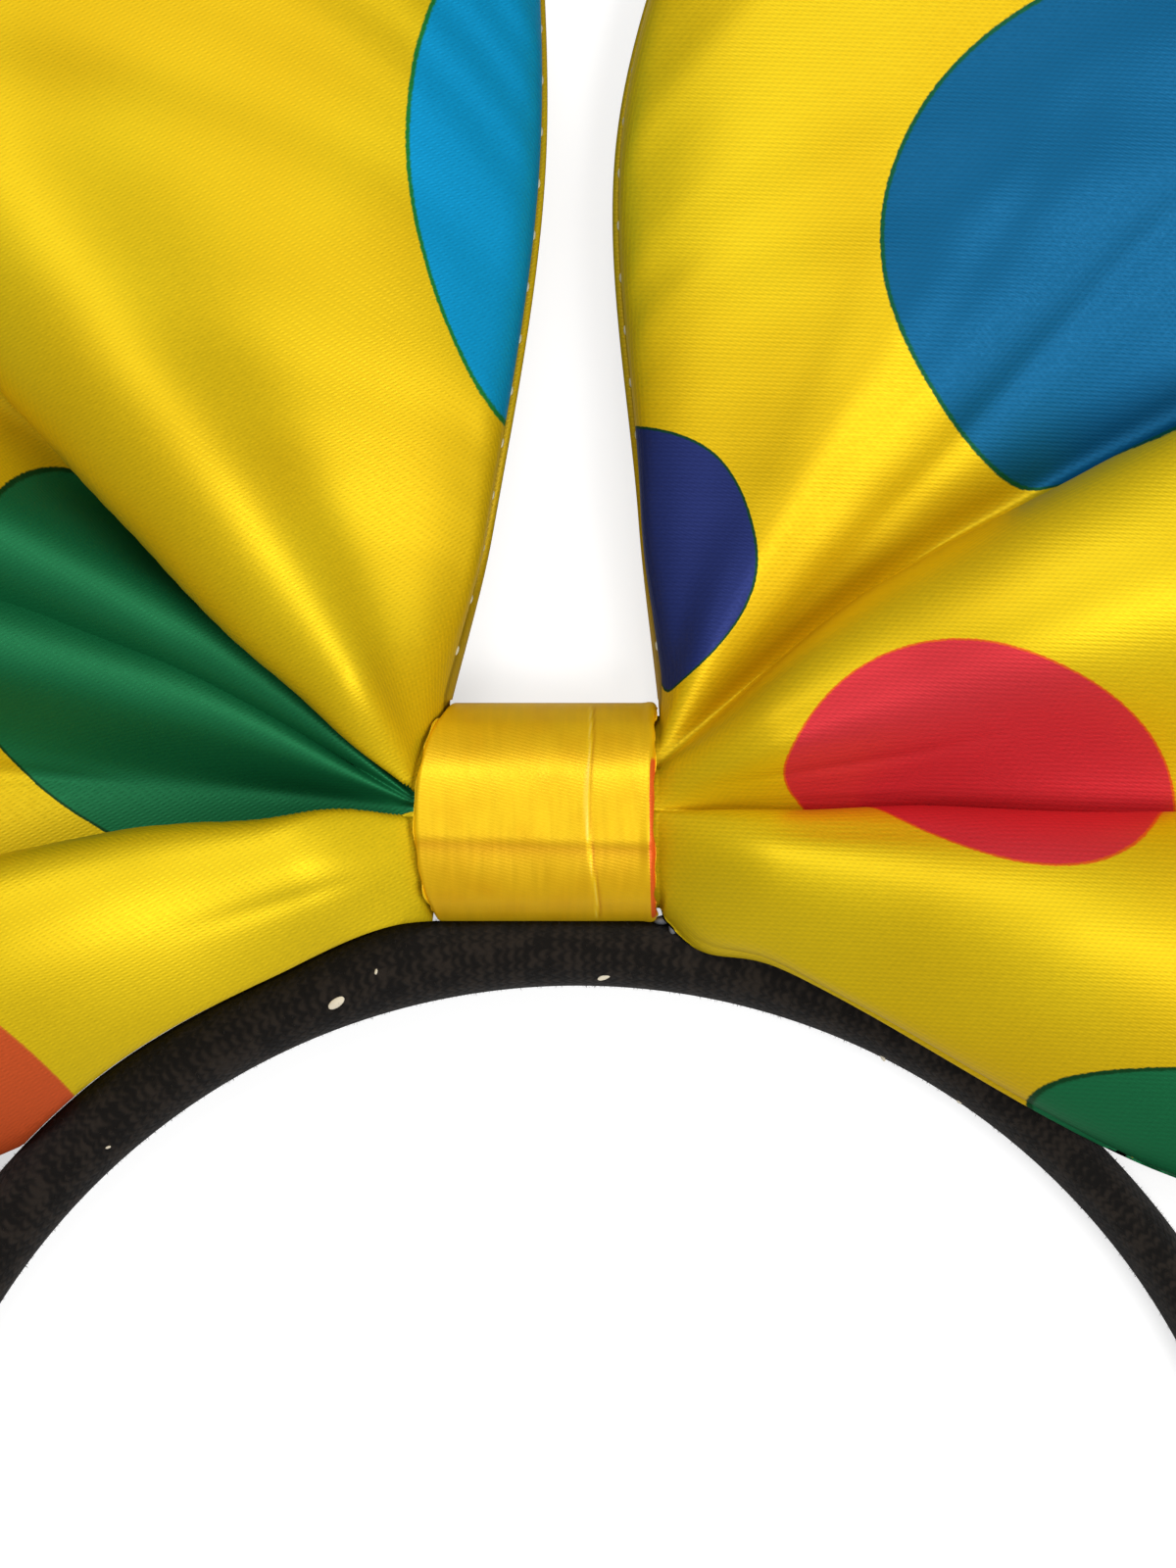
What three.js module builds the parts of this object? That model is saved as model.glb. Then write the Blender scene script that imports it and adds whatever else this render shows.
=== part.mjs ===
// Clown headband: a cloth-covered hair hoop that carries a big padded satin bow.
// Millimetres. It lies on its back on the plane z = 0, with +Z towards the viewer and
// +Y from the hoop's crown up to the bow's top. The origin is under the crown's middle.

import * as THREE from 'three';

// Hair hoop, measured along its inner edge
const hoopInnerRadius = 69.9;
const hoopThickness = 8;
const hoopDepth = 10;
const hoopRestFlat = 0.6;
const crownTurn = 65;
const legRadius = 110;
const legTurn = 33;
const tipLength = 20;
const tipRound = 5;

// Satin strip wound round the gathered middle of the bow
const knotWidth = 24.6;
const knotHeight = 21.8;
const knotDepth = 16.4;
const knotWall = 1.2;
const knotRestGap = 0.3;
const knotOffCentre = -4.2;

// Padded satin wings
const wingReach = 150;
const foldHeight = 26;
const wingPadding = 5.5;
const seamThickness = 1;
const seamRound = 5;
const neckPleat = 1.2;

// How a fold runs from the knot's mouth to the rim, as shares of its way
const risePlace = 0.1;
const riseShare = 0.6;
const crestPlace = 0.35;
const nearPlace = 0.2;
const farPlace = 0.6;
const gatherShare = 0.22;

// Room kept between pieces that touch, and how far past the hoop a wing comes down again
const clearance = 0.3;
const leanGap = 0.45;
const bridgeStart = 1;
const bridgeEnd = 7;

// Mesh steps
const hoopSteps = 60;
const hoopSides = 12;
const knotSteps = 32;
const stepsAlongFold = 18;
const foldStepGrowth = 1.35;
const slopeStep = 0.01;

// Exponents of the rounded sections: 2 is an ellipse, more is boxier
const hoopBoxiness = 2.6;
const knotBoxiness = 2.4;

// Thickness of the hoop by the turn in degrees from its crown, left is negative,
// as a share of hoopThickness
const hoopSections = [
  { place: 'left tip', turn: -98, thick: 0.9 },
  { place: 'left leg', turn: -60, thick: 1 },
  { place: 'left shoulder', turn: -40, thick: 1 },
  { place: 'left of the bow', turn: -24, thick: 0.925 },
  { place: 'crown', turn: 0, thick: 0.825 },
  { place: 'right of the bow', turn: 24, thick: 0.8 },
  { place: 'right shoulder', turn: 45, thick: 0.74 },
  { place: 'right leg', turn: 60, thick: 0.74 },
  { place: 'right tip', turn: 98, thick: 0.76 },
];

// Edges of the knot's strip round its loop, as shares of half of knotWidth
const knotEdges = [
  { place: 'top', round: 0, left: 0.7, right: 1 },
  { place: 'front', round: 90, left: 1, right: 0.98 },
  { place: 'bottom', round: 180, left: 0.82, right: 1 },
  { place: 'back', round: 270, left: 0.8, right: 0.85 },
  { place: 'top again', round: 360, left: 0.7, right: 1 },
];

// Folds of a wing, from its lower seam round to its inner seam. neck is the place in the
// knot's height from -1 to 1. rise is the angle in degrees up from the sideways axis to
// the fold's end, and reach its distance from the knot's middle as a share of wingReach.
// near and far bend the fold sideways at a fifth and three fifths of its way, as shares
// of wingReach. lift and rim are the heights a third of the way out and at the rim, as
// shares of foldHeight.
const leftFolds = [
  { fold: 'lower seam', neck: -1, rise: -27, reach: 0.68, near: 0, far: -0.012, lift: 0.22, rim: 0.02 },
  { fold: 'lower swell', neck: -0.7, rise: -20, reach: 0.82, near: 0, far: -0.008, lift: 0.62, rim: 0.36 },
  { fold: 'lower ridge', neck: -0.3, rise: -13, reach: 0.92, near: 0, far: -0.004, lift: 0.82, rim: 0.5 },
  { fold: 'lower ridge edge', neck: -0.05, rise: -5, reach: 0.955, near: 0.016, far: 0, lift: 0.7, rim: 0.44 },
  { fold: 'valley foot', neck: 0.02, rise: -2, reach: 0.965, near: 0.018, far: 0, lift: 0.27, rim: 0.26 },
  { fold: 'valley floor', neck: 0.08, rise: 10, reach: 0.99, near: 0, far: 0, lift: 0.18, rim: 0.1 },
  { fold: 'valley low ridge', neck: 0.14, rise: 21, reach: 1, near: -0.012, far: 0.01, lift: 0.36, rim: 0.4 },
  { fold: 'valley groove', neck: 0.16, rise: 26, reach: 1, near: -0.006, far: 0.004, lift: 0.27, rim: 0.36 },
  { fold: 'valley high ridge', neck: 0.18, rise: 31, reach: 0.995, near: 0, far: 0, lift: 0.4, rim: 0.42 },
  { fold: 'valley head', neck: 0.2, rise: 39, reach: 0.96, near: 0, far: 0, lift: 0.28, rim: 0.24 },
  { fold: 'upper ridge edge', neck: 0.24, rise: 43, reach: 0.945, near: 0, far: 0, lift: 0.7, rim: 0.46 },
  { fold: 'upper ridge', neck: 0.37, rise: 49, reach: 0.925, near: 0, far: 0, lift: 1, rim: 0.62 },
  { fold: 'upper panel', neck: 0.62, rise: 61, reach: 0.905, near: 0.008, far: 0.01, lift: 0.86, rim: 0.56 },
  { fold: 'upper swell', neck: 0.85, rise: 75, reach: 0.84, near: 0.014, far: 0.02, lift: 0.62, rim: 0.4 },
  { fold: 'inner seam', neck: 1, rise: 90, reach: 0.68, near: 0.018, far: 0.03, lift: 0.24, rim: 0.02 },
];
const rightFolds = [
  { fold: 'lower seam', neck: -1, rise: -25, reach: 0.74, near: -0.003, far: -0.033, lift: 0.5, rim: 0.02 },
  { fold: 'lower swell', neck: -0.65, rise: -18, reach: 0.86, near: 0, far: -0.02, lift: 0.74, rim: 0.38 },
  { fold: 'lower bulge', neck: -0.2, rise: -10, reach: 0.94, near: 0, far: -0.006, lift: 0.86, rim: 0.52 },
  { fold: 'bulge top', neck: -0.02, rise: -3, reach: 0.965, near: -0.004, far: -0.008, lift: 0.7, rim: 0.46 },
  { fold: 'long crease', neck: 0.06, rise: 3, reach: 0.975, near: -0.008, far: -0.012, lift: 0.44, rim: 0.3 },
  { fold: 'middle panel', neck: 0.15, rise: 11, reach: 0.99, near: 0, far: 0, lift: 0.68, rim: 0.48 },
  { fold: 'middle ridge', neck: 0.32, rise: 19, reach: 1, near: 0.014, far: 0.016, lift: 0.9, rim: 0.56 },
  { fold: 'middle ridge edge', neck: 0.46, rise: 25, reach: 0.99, near: 0.025, far: 0.028, lift: 0.74, rim: 0.42 },
  { fold: 'tuck', neck: 0.52, rise: 28, reach: 0.98, near: 0.027, far: 0.03, lift: 0.32, rim: 0.1 },
  { fold: 'upper foot', neck: 0.6, rise: 37, reach: 0.965, near: 0.024, far: 0.026, lift: 0.4, rim: 0.34 },
  { fold: 'upper panel', neck: 0.74, rise: 50, reach: 0.93, near: 0.022, far: 0.03, lift: 0.58, rim: 0.46 },
  { fold: 'upper ripple', neck: 0.85, rise: 61, reach: 0.9, near: 0.022, far: 0.04, lift: 0.6, rim: 0.4 },
  { fold: 'upper swell', neck: 0.93, rise: 71, reach: 0.84, near: 0.022, far: 0.048, lift: 0.46, rim: 0.3 },
  { fold: 'inner seam', neck: 1, rise: 80, reach: 0.72, near: 0.022, far: 0.054, lift: 0.2, rim: 0.02 },
];

// Helpers for numbers
const radians = THREE.MathUtils.degToRad;
const mix = THREE.MathUtils.lerp;
const ease = (value) => THREE.MathUtils.smoothstep(value, 0, 1);

// Height of a rounded box's section at a share of its width
function boxRound(share, boxiness) {
  return Math.pow(Math.max(0, 1 - Math.pow(Math.abs(share), boxiness)), 1 / boxiness);
}

// Smooth curve through the values at growing stations, with the ends held
function curveThrough(stations, values, place) {
  const last = stations.length - 1;
  const at = THREE.MathUtils.clamp(place, stations[0], stations[last]);
  let i = 0;
  while (i < last - 1 && at > stations[i + 1]) i += 1;
  const slope = (k) => {
    const before = Math.max(0, k - 1);
    const after = Math.min(last, k + 1);
    return (values[after] - values[before]) / (stations[after] - stations[before]);
  };
  const span = stations[i + 1] - stations[i];
  const f = (at - stations[i]) / span;
  const rise = f * f * (3 - 2 * f);
  const bendIn = f * (1 - f) * (1 - f) * span * slope(i);
  const bendOut = f * f * (f - 1) * span * slope(i + 1);
  return mix(values[i], values[i + 1], rise) + bendIn + bendOut;
}

// One closed skin over rings with equal numbers of points. The rings close on
// themselves when looped, and otherwise each end is closed across its own ring.
function loft(rings, looped) {
  const count = rings[0].length;
  const faces = [];
  const spans = looped ? rings.length : rings.length - 1;
  for (let r = 0; r < spans; r += 1) {
    const here = r * count;
    const there = ((r + 1) % rings.length) * count;
    for (let i = 0; i < count; i += 1) {
      const j = (i + 1) % count;
      faces.push(here + i, here + j, there + j, here + i, there + j, there + i);
    }
  }
  if (!looped) {
    const end = (rings.length - 1) * count;
    for (let i = 0; i < count / 2 - 1; i += 1) {
      const j = count - 1 - i;
      faces.push(j, i + 1, i, j, j - 1, i + 1);
      faces.push(end + i, end + i + 1, end + j, end + i + 1, end + j - 1, end + j);
    }
  }
  const points = rings.flat();
  let volume = 0;
  for (let f = 0; f < faces.length; f += 3) {
    const [a, b, c] = [points[faces[f]], points[faces[f + 1]], points[faces[f + 2]]];
    volume += a.dot(b.clone().cross(c));
  }
  if (volume < 0) faces.reverse();
  const geometry = new THREE.BufferGeometry().setFromPoints(points);
  geometry.setIndex(faces);
  geometry.computeVertexNormals();
  return geometry;
}

// Places worked out from the sizes
const hoopTurns = hoopSections.map((row) => row.turn);
const hoopShares = hoopSections.map((row) => row.thick);
const hoopThick = (turn) => hoopThickness * curveThrough(hoopTurns, hoopShares, turn);
const crownHalf = hoopThick(0) / 2;
const hoopCentre = new THREE.Vector2(0, -crownHalf - hoopInnerRadius);
const knotCentre = new THREE.Vector3(
  knotOffCentre,
  crownHalf + clearance + knotHeight / 2,
  knotRestGap + knotDepth / 2,
);
const neckHalfHeight = knotHeight / 2 - knotWall - clearance;
const neckHalfDepth = knotDepth / 2 - knotWall - clearance;

// Point on the hoop's inner edge at a distance from the crown, and the way out from it
function hoopEdge(distance) {
  const crownLength = hoopInnerRadius * radians(crownTurn);
  const legLength = legRadius * radians(legTurn);
  const along = Math.abs(distance);
  const inCrown = Math.min(along, crownLength);
  const inLeg = THREE.MathUtils.clamp(along - crownLength, 0, legLength);
  const inTip = Math.max(0, along - crownLength - legLength);
  const crownAngle = inCrown / hoopInnerRadius;
  const angle = crownAngle + inLeg / legRadius;
  const x = hoopInnerRadius * Math.sin(crownAngle)
    + legRadius * (Math.sin(angle) - Math.sin(crownAngle)) + inTip * Math.cos(angle);
  const y = hoopInnerRadius * Math.cos(crownAngle)
    + legRadius * (Math.cos(angle) - Math.cos(crownAngle)) - inTip * Math.sin(angle);
  const way = Math.sign(distance) || 1;
  return {
    place: new THREE.Vector2(way * x, hoopCentre.y + y),
    out: new THREE.Vector2(way * Math.sin(angle), Math.cos(angle)),
    turn: way * THREE.MathUtils.radToDeg(angle),
  };
}

// Rounded section of the hoop, pressed flat at the back and shrunk towards a tip
function hoopRing(distance, shrink) {
  const edge = hoopEdge(distance);
  const half = hoopThick(edge.turn) / 2;
  const ring = [];
  for (let i = 0; i < hoopSides; i += 1) {
    const angle = (2 * Math.PI * i) / hoopSides;
    const swell = (value) => Math.sign(value) * Math.pow(Math.abs(value), 2 / hoopBoxiness);
    const across = half * (1 + shrink * swell(Math.cos(angle)));
    const full = (hoopDepth + hoopRestFlat) / 2;
    const lift = Math.max(full * (1 + shrink * swell(Math.sin(angle))), hoopRestFlat);
    const place = edge.place.clone().addScaledVector(edge.out, across);
    ring.push(new THREE.Vector3(place.x, place.y, lift - hoopRestFlat));
  }
  return ring;
}

function makeHoop() {
  const crownLength = hoopInnerRadius * radians(crownTurn);
  const legLength = legRadius * radians(legTurn);
  const length = crownLength + legLength + tipLength;
  const tipTurns = [90, 60, 30];
  const tipShrink = [0.3, 0.66, 0.9];
  const rings = [];
  tipTurns.forEach((turn, i) => {
    rings.push(hoopRing(-length + tipRound * (1 - Math.sin(radians(turn))), tipShrink[i]));
  });
  const straight = length - tipRound;
  for (let i = 0; i <= hoopSteps; i += 1) {
    rings.push(hoopRing(mix(-straight, straight, i / hoopSteps), 1));
  }
  tipTurns.reverse().forEach((turn, i) => {
    const shrink = tipShrink[tipShrink.length - 1 - i];
    rings.push(hoopRing(length - tipRound * (1 - Math.sin(radians(turn))), shrink));
  });
  return loft(rings, false);
}

// Half width of the knot's strip on one side, at an angle in degrees round its loop
function knotReach(side, round) {
  const turn = ((round % 360) + 360) % 360;
  const shares = knotEdges.map((row) => (side < 0 ? row.left : row.right));
  return (knotWidth / 2) * curveThrough(knotEdges.map((row) => row.round), shares, turn);
}

// Point of the knot's loop at an angle from its top towards the front, a depth in from
// its outer face
function knotLoop(round, inward, x) {
  const angle = radians(round);
  const swell = (value) => Math.sign(value) * Math.pow(Math.abs(value), 2 / knotBoxiness);
  return new THREE.Vector3(
    knotCentre.x + x,
    knotCentre.y + (knotHeight / 2 - inward) * swell(Math.cos(angle)),
    knotCentre.z + (knotDepth / 2 - inward) * swell(Math.sin(angle)),
  );
}

function makeKnot() {
  const edgeRound = knotWall / 3;
  const rings = [];
  for (let i = 0; i < knotSteps; i += 1) {
    const round = (360 * i) / knotSteps;
    const left = -knotReach(-1, round);
    const right = knotReach(1, round);
    rings.push([
      knotLoop(round, edgeRound, left),
      knotLoop(round, 0, left + edgeRound),
      knotLoop(round, 0, 0),
      knotLoop(round, 0, right - edgeRound),
      knotLoop(round, edgeRound, right),
      knotLoop(round, knotWall, right),
      knotLoop(round, knotWall, 0),
      knotLoop(round, knotWall, left),
    ]);
  }
  return loft(rings, true);
}

// A wing: a padded sheet that is gathered into the knot and fans out along its folds
class Wing {
  constructor(side, folds) {
    this.side = side;
    this.folds = folds;
    this.rows = folds.map((row, i) => i);
  }

  column(name, row) {
    return curveThrough(this.rows, this.folds.map((fold) => fold[name]), row);
  }

  // Middle of the sheet at a fold row, on the way from the knot's mouth (0) to the rim (1)
  sheet(row, way) {
    const rise = radians(this.column('rise', row));
    const reach = wingReach * this.column('reach', row);
    const mouth = this.mouth(row, 0);
    const startX = this.side * (mouth.x - knotCentre.x);
    const startY = mouth.y - knotCentre.y;
    const acrossX = reach * Math.cos(rise) - startX;
    const acrossY = reach * Math.sin(rise) - startY;
    const length = Math.hypot(acrossX, acrossY);
    const near = wingReach * this.column('near', row);
    const far = wingReach * this.column('far', row);
    const bend = curveThrough([0, nearPlace, farPlace, 1], [0, near, far, 0], way);
    const lift = foldHeight * this.column('lift', row);
    const rim = foldHeight * this.column('rim', row);
    const first = mix(knotCentre.z, lift, riseShare);
    const height = curveThrough([0, risePlace, crestPlace, 1], [knotCentre.z, first, lift, rim], way);
    return new THREE.Vector3(
      knotCentre.x + this.side * (startX + acrossX * way - (bend * acrossY) / length),
      mouth.y + acrossY * way + (bend * acrossX) / length,
      height,
    );
  }

  // Gathered section just outside the knot's strip: face is 1 in front, -1 behind
  mouth(row, face) {
    const share = this.column('neck', row);
    const ridge = this.column('lift', row);
    const half = neckHalfDepth * boxRound(share, knotBoxiness) - neckPleat * (1 - ridge);
    const y = neckHalfHeight * share;
    const z = face * Math.max(half, seamThickness / 2);
    const round = THREE.MathUtils.radToDeg(Math.atan2(z, y));
    const reach = knotReach(this.side, round) + clearance;
    return new THREE.Vector3(knotCentre.x + this.side * reach, knotCentre.y + y, knotCentre.z + z);
  }

  // Half of the padding, rounded down to the seam near every free edge
  halfPadding(row, way, middle) {
    const last = this.rows.length - 1;
    const toSeams = Math.min(
      middle.distanceTo(this.sheet(0, way)),
      middle.distanceTo(this.sheet(last, way)),
      middle.distanceTo(this.sheet(row, 1)),
    );
    const inwards = Math.min(1, toSeams / seamRound);
    const roundness = Math.sqrt(1 - (1 - inwards) * (1 - inwards));
    return mix(seamThickness / 2, wingPadding / 2, roundness);
  }

  // Point of the wing's front or back skin
  skin(row, way, face) {
    const last = this.rows.length - 1;
    const middle = this.sheet(row, way);
    const further = this.sheet(row, Math.min(1, way + slopeStep));
    const nearer = this.sheet(row, Math.max(0, way - slopeStep));
    const higher = this.sheet(Math.min(last, row + slopeStep), way);
    const lower = this.sheet(Math.max(0, row - slopeStep), way);
    const normal = further.sub(nearer).cross(higher.sub(lower)).normalize();
    if (normal.z < 0) normal.negate();
    const half = this.halfPadding(row, way, middle);
    const padded = middle.clone().addScaledVector(normal, face * half);
    const gathered = this.mouth(row, face).add(middle).sub(this.sheet(row, 0));
    return this.settle(gathered.lerp(padded, ease(way / gatherShare)));
  }

  // Keeps a point off the surface below, the hoop and the knot
  settle(point) {
    const fromCentre = new THREE.Vector2(point.x, point.y).sub(hoopCentre);
    const turn = THREE.MathUtils.radToDeg(Math.atan2(fromCentre.x, fromCentre.y));
    const outer = hoopInnerRadius + hoopThick(turn) + leanGap;
    const past = fromCentre.length() - outer;
    if (this.side < 0 && past < 0) {
      fromCentre.setLength(outer).add(hoopCentre);
      point.set(fromCentre.x, fromCentre.y, point.z);
    }
    if (this.side > 0) {
      const over = 1 - THREE.MathUtils.smoothstep(past, bridgeStart, bridgeEnd);
      point.z = Math.max(point.z, over * (hoopDepth + clearance));
    }
    point.z = Math.max(point.z, 0);
    return this.clearKnot(point);
  }

  // Moves a point that is beside the knot's strip out past its face
  clearKnot(point) {
    const sideways = this.side * (point.x - knotCentre.x);
    const y = (point.y - knotCentre.y) / (knotHeight / 2 + clearance);
    const z = (point.z - knotCentre.z) / (knotDepth / 2 + clearance);
    const round = THREE.MathUtils.radToDeg(Math.atan2(z * knotDepth, y * knotHeight));
    const powers = Math.pow(Math.abs(y), knotBoxiness) + Math.pow(Math.abs(z), knotBoxiness);
    const size = Math.pow(powers, 1 / knotBoxiness);
    if (sideways < knotReach(this.side, round) + clearance && size < 1) {
      point.y = knotCentre.y + (point.y - knotCentre.y) / size;
      point.z = knotCentre.z + (point.z - knotCentre.z) / size;
    }
    return point;
  }

  // Fold rows that are meshed: two steps a fold and one more beside each seam
  meshRows() {
    const last = this.rows.length - 1;
    const rows = [0, 0.2];
    for (let row = 0.5; row <= last - 0.5; row += 0.5) rows.push(row);
    rows.push(last - 0.2, last);
    return rows;
  }

  ring(place) {
    const rows = this.meshRows();
    const front = rows.map((row) => place(row, 1));
    const back = rows.map((row) => place(row, -1)).reverse();
    return front.concat(back);
  }

  make() {
    const neckRing = (x, shrink) => this.ring((row, face) => {
      const point = this.mouth(row, face);
      point.x = knotCentre.x + this.side * x;
      point.y = mix(knotCentre.y, point.y, shrink);
      return point;
    });
    const rings = [
      neckRing(clearance / 2, 0.97),
      neckRing(knotWidth / 4, 1),
      this.ring((row, face) => this.mouth(row, face)),
    ];
    for (let i = 1; i <= stepsAlongFold; i += 1) {
      const way = Math.pow(i / stepsAlongFold, foldStepGrowth);
      rings.push(this.ring((row, face) => this.skin(row, way, face)));
    }
    return loft(rings, false);
  }
}

// Materials
function cloth(color, roughness) {
  return new THREE.MeshStandardMaterial({ color, roughness, metalness: 0 });
}

const blackCloth = cloth(0x1c1612, 0.95);
const yellowSatin = cloth(0xe6c61e, 0.42);
const goldSatin = cloth(0xdba81a, 0.4);

function piece(name, geometry, material) {
  const mesh = new THREE.Mesh(geometry, material);
  mesh.name = name;
  return mesh;
}

const headpiece = new THREE.Group();
headpiece.add(
  piece('headband', makeHoop(), blackCloth),
  piece('bow_wing_left', new Wing(-1, leftFolds).make(), yellowSatin),
  piece('bow_wing_right', new Wing(1, rightFolds).make(), yellowSatin),
  piece('knot_wrap', makeKnot(), goldSatin),
);

export default headpiece;
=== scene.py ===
"""Looks of the clown headband: a knit-covered hoop with a padded, dotted satin bow.

Sizes are in millimetres in the dataclasses and become metres when a mesh is made. The part
lies on its back on z = 0, +Y runs from the hoop's crown up to the bow's top, and +Z points
out of the bow's front.
"""

import logging
import math
from dataclasses import dataclass, field
from enum import Enum

import bpy
import numpy as np
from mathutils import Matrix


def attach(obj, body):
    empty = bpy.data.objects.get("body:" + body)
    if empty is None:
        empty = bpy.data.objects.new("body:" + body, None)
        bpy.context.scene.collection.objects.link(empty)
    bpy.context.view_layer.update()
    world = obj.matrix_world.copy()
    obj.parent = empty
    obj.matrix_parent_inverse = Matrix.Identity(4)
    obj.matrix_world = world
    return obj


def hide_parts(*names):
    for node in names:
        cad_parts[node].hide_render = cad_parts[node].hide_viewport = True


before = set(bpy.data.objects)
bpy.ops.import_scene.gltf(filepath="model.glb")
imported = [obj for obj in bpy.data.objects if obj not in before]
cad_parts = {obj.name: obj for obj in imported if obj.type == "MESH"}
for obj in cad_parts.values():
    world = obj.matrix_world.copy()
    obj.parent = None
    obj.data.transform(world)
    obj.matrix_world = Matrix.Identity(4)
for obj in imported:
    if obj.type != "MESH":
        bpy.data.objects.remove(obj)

LOG = logging.getLogger("clown_headband")
METRE = 0.001
BODY = "root"
REAR_SHIFT = 600.0

Colour = tuple[float, float, float, float]
Material = bpy.types.Material
Piece = bpy.types.Object
Socket = bpy.types.NodeSocket
Tree = bpy.types.NodeTree


# Numbers


def smooth_step(value: np.ndarray) -> np.ndarray:
    """Eases a value from 0 to 1 with flat ends: 3x squared less 2x cubed."""
    x = np.clip(value, 0.0, 1.0)
    return x * x * (3.0 - 2.0 * x)


def between(value: np.ndarray, low: float, high: float) -> np.ndarray:
    """Share of the way from low to high, eased at both ends."""
    return smooth_step((value - low) / (high - low))


def box_round(share: np.ndarray, boxiness: float) -> np.ndarray:
    """Height of a rounded box's section at a share of its half width."""
    return np.maximum(0.0, 1.0 - np.abs(share) ** boxiness) ** (1.0 / boxiness)


def swell(value: np.ndarray, boxiness: float) -> np.ndarray:
    """Sine or cosine pushed out towards a box: the sign times its power 2 / boxiness."""
    return np.sign(value) * np.abs(value) ** (2.0 / boxiness)


def curve_through(stations: np.ndarray, values: np.ndarray, places: np.ndarray) -> np.ndarray:
    """Smooth curve through values at growing stations: cubic pieces with central slopes.

    Args:
        stations: the m growing stations.
        values: the value at each station, m or m by n.
        places: where the curve is read, n or any shape when values has m entries.

    Returns:
        The curve at the places, in their shape.
    """
    last = len(stations) - 1
    at = np.clip(places, stations[0], stations[last])
    i = np.clip(np.searchsorted(stations, at, side="right") - 1, 0, last - 1)
    rows = np.arange(last + 1)
    before = np.maximum(0, rows - 1)
    after = np.minimum(last, rows + 1)
    gaps = (stations[after] - stations[before]).reshape((-1,) + (1,) * (values.ndim - 1))
    slopes = (values[after] - values[before]) / gaps
    if values.ndim == 1:
        low, high, out, back = values[i], values[i + 1], slopes[i], slopes[i + 1]
    else:
        column = np.broadcast_to(np.arange(values.shape[1]), at.shape)
        low, high = values[i, column], values[i + 1, column]
        out, back = slopes[i, column], slopes[i + 1, column]
    span = stations[i + 1] - stations[i]
    f = (at - stations[i]) / span
    bend_in = f * (1 - f) ** 2 * span * out
    bend_out = f * f * (f - 1) * span * back
    return low + (high - low) * f * f * (3 - 2 * f) + bend_in + bend_out


def blurred(values: np.ndarray, spread: float) -> np.ndarray:
    """Running mean with bell-shaped weights, spread samples wide, with the ends held.

    Args:
        values: the samples.
        spread: width of the bell in samples.

    Returns:
        The smoothed samples.
    """
    reach = int(3 * spread) + 1
    offsets = np.arange(-reach, reach + 1)
    weights = np.exp(-0.5 * (offsets / spread) ** 2)
    padded = np.pad(values, reach, mode="reflect", reflect_type="odd")
    return np.convolve(padded, weights / weights.sum(), mode="valid")


def bell(value: np.ndarray, width: float) -> np.ndarray:
    """Bell of height 1: e to the power of less the square of value over width."""
    return np.exp(-((value / width) ** 2))


def travelled(points: np.ndarray) -> np.ndarray:
    """Distance along each row of points, from the row's first."""
    steps = np.linalg.norm(np.diff(points, axis=-2), axis=-1)
    return np.concatenate([np.zeros(steps.shape[:-1] + (1,)), np.cumsum(steps, axis=-1)], axis=-1)


def linear(red: int, green: int, blue: int) -> Colour:
    """Colour for a shader from the usual 0 to 255 screen values.

    Args:
        red: red share.
        green: green share.
        blue: blue share.

    Returns:
        Red, green, blue and a full alpha, in linear light.
    """
    screen = np.array([red, green, blue]) / 255.0
    low = screen / 12.92
    high = ((screen + 0.055) / 1.055) ** 2.4
    light = np.where(screen <= 0.04045, low, high)
    return (float(light[0]), float(light[1]), float(light[2]), 1.0)


# Meshes


@dataclass
class Skin:
    """A mesh being gathered: points in millimetres, faces, and values for its corners."""

    points: np.ndarray
    faces: np.ndarray
    maps: dict[str, np.ndarray] = field(default_factory=dict)
    marks: dict[str, np.ndarray] = field(default_factory=dict)

    def build(self, name: str, material: Material) -> Piece:
        """Makes the smooth object at the origin, in metres, with its faces outwards.

        Args:
            name: the object's name.
            material: its finish.

        Returns:
            The new object.
        """
        corners = self.points[self.faces]
        apart = np.cross(corners[:, 1] - corners[:, 0], corners[:, 2] - corners[:, 0])
        if self.faces.shape[1] == 4:
            apart = apart + np.cross(corners[:, 2] - corners[:, 0], corners[:, 3] - corners[:, 0])
        outward = float(np.sum(corners.mean(axis=1) * apart))
        order = np.arange(self.faces.shape[1])
        if outward < 0:
            order = order[::-1]
        faces = self.faces[:, order]
        mesh = bpy.data.meshes.new(name)
        mesh.vertices.add(len(self.points))
        mesh.vertices.foreach_set("co", (self.points * METRE).astype(np.float32).ravel())
        mesh.loops.add(faces.size)
        mesh.loops.foreach_set("vertex_index", faces.astype(np.int32).ravel())
        mesh.polygons.add(len(faces))
        starts = np.arange(len(faces), dtype=np.int32) * faces.shape[1]
        mesh.polygons.foreach_set("loop_start", starts)
        mesh.update(calc_edges=True)
        mesh.polygons.foreach_set("use_smooth", np.full(len(faces), True))
        for label, corner_values in self.maps.items():
            layer = mesh.uv_layers.new(name=label)
            layer.data.foreach_set("uv", corner_values[:, order].astype(np.float32).ravel())
        for label, values in self.marks.items():
            mark = mesh.attributes.new(label, "FLOAT", "POINT")
            mark.data.foreach_set("value", values.astype(np.float32))
        mesh.validate()
        mesh.materials.append(material)
        piece = bpy.data.objects.new(name, mesh)
        bpy.context.scene.collection.objects.link(piece)
        return piece


def grid_faces(index: np.ndarray) -> np.ndarray:
    """Four-cornered faces over a grid of point numbers."""
    corners = [index[:-1, :-1], index[:-1, 1:], index[1:, 1:], index[1:, :-1]]
    return np.stack(corners, axis=-1).reshape(-1, 4)


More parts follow.
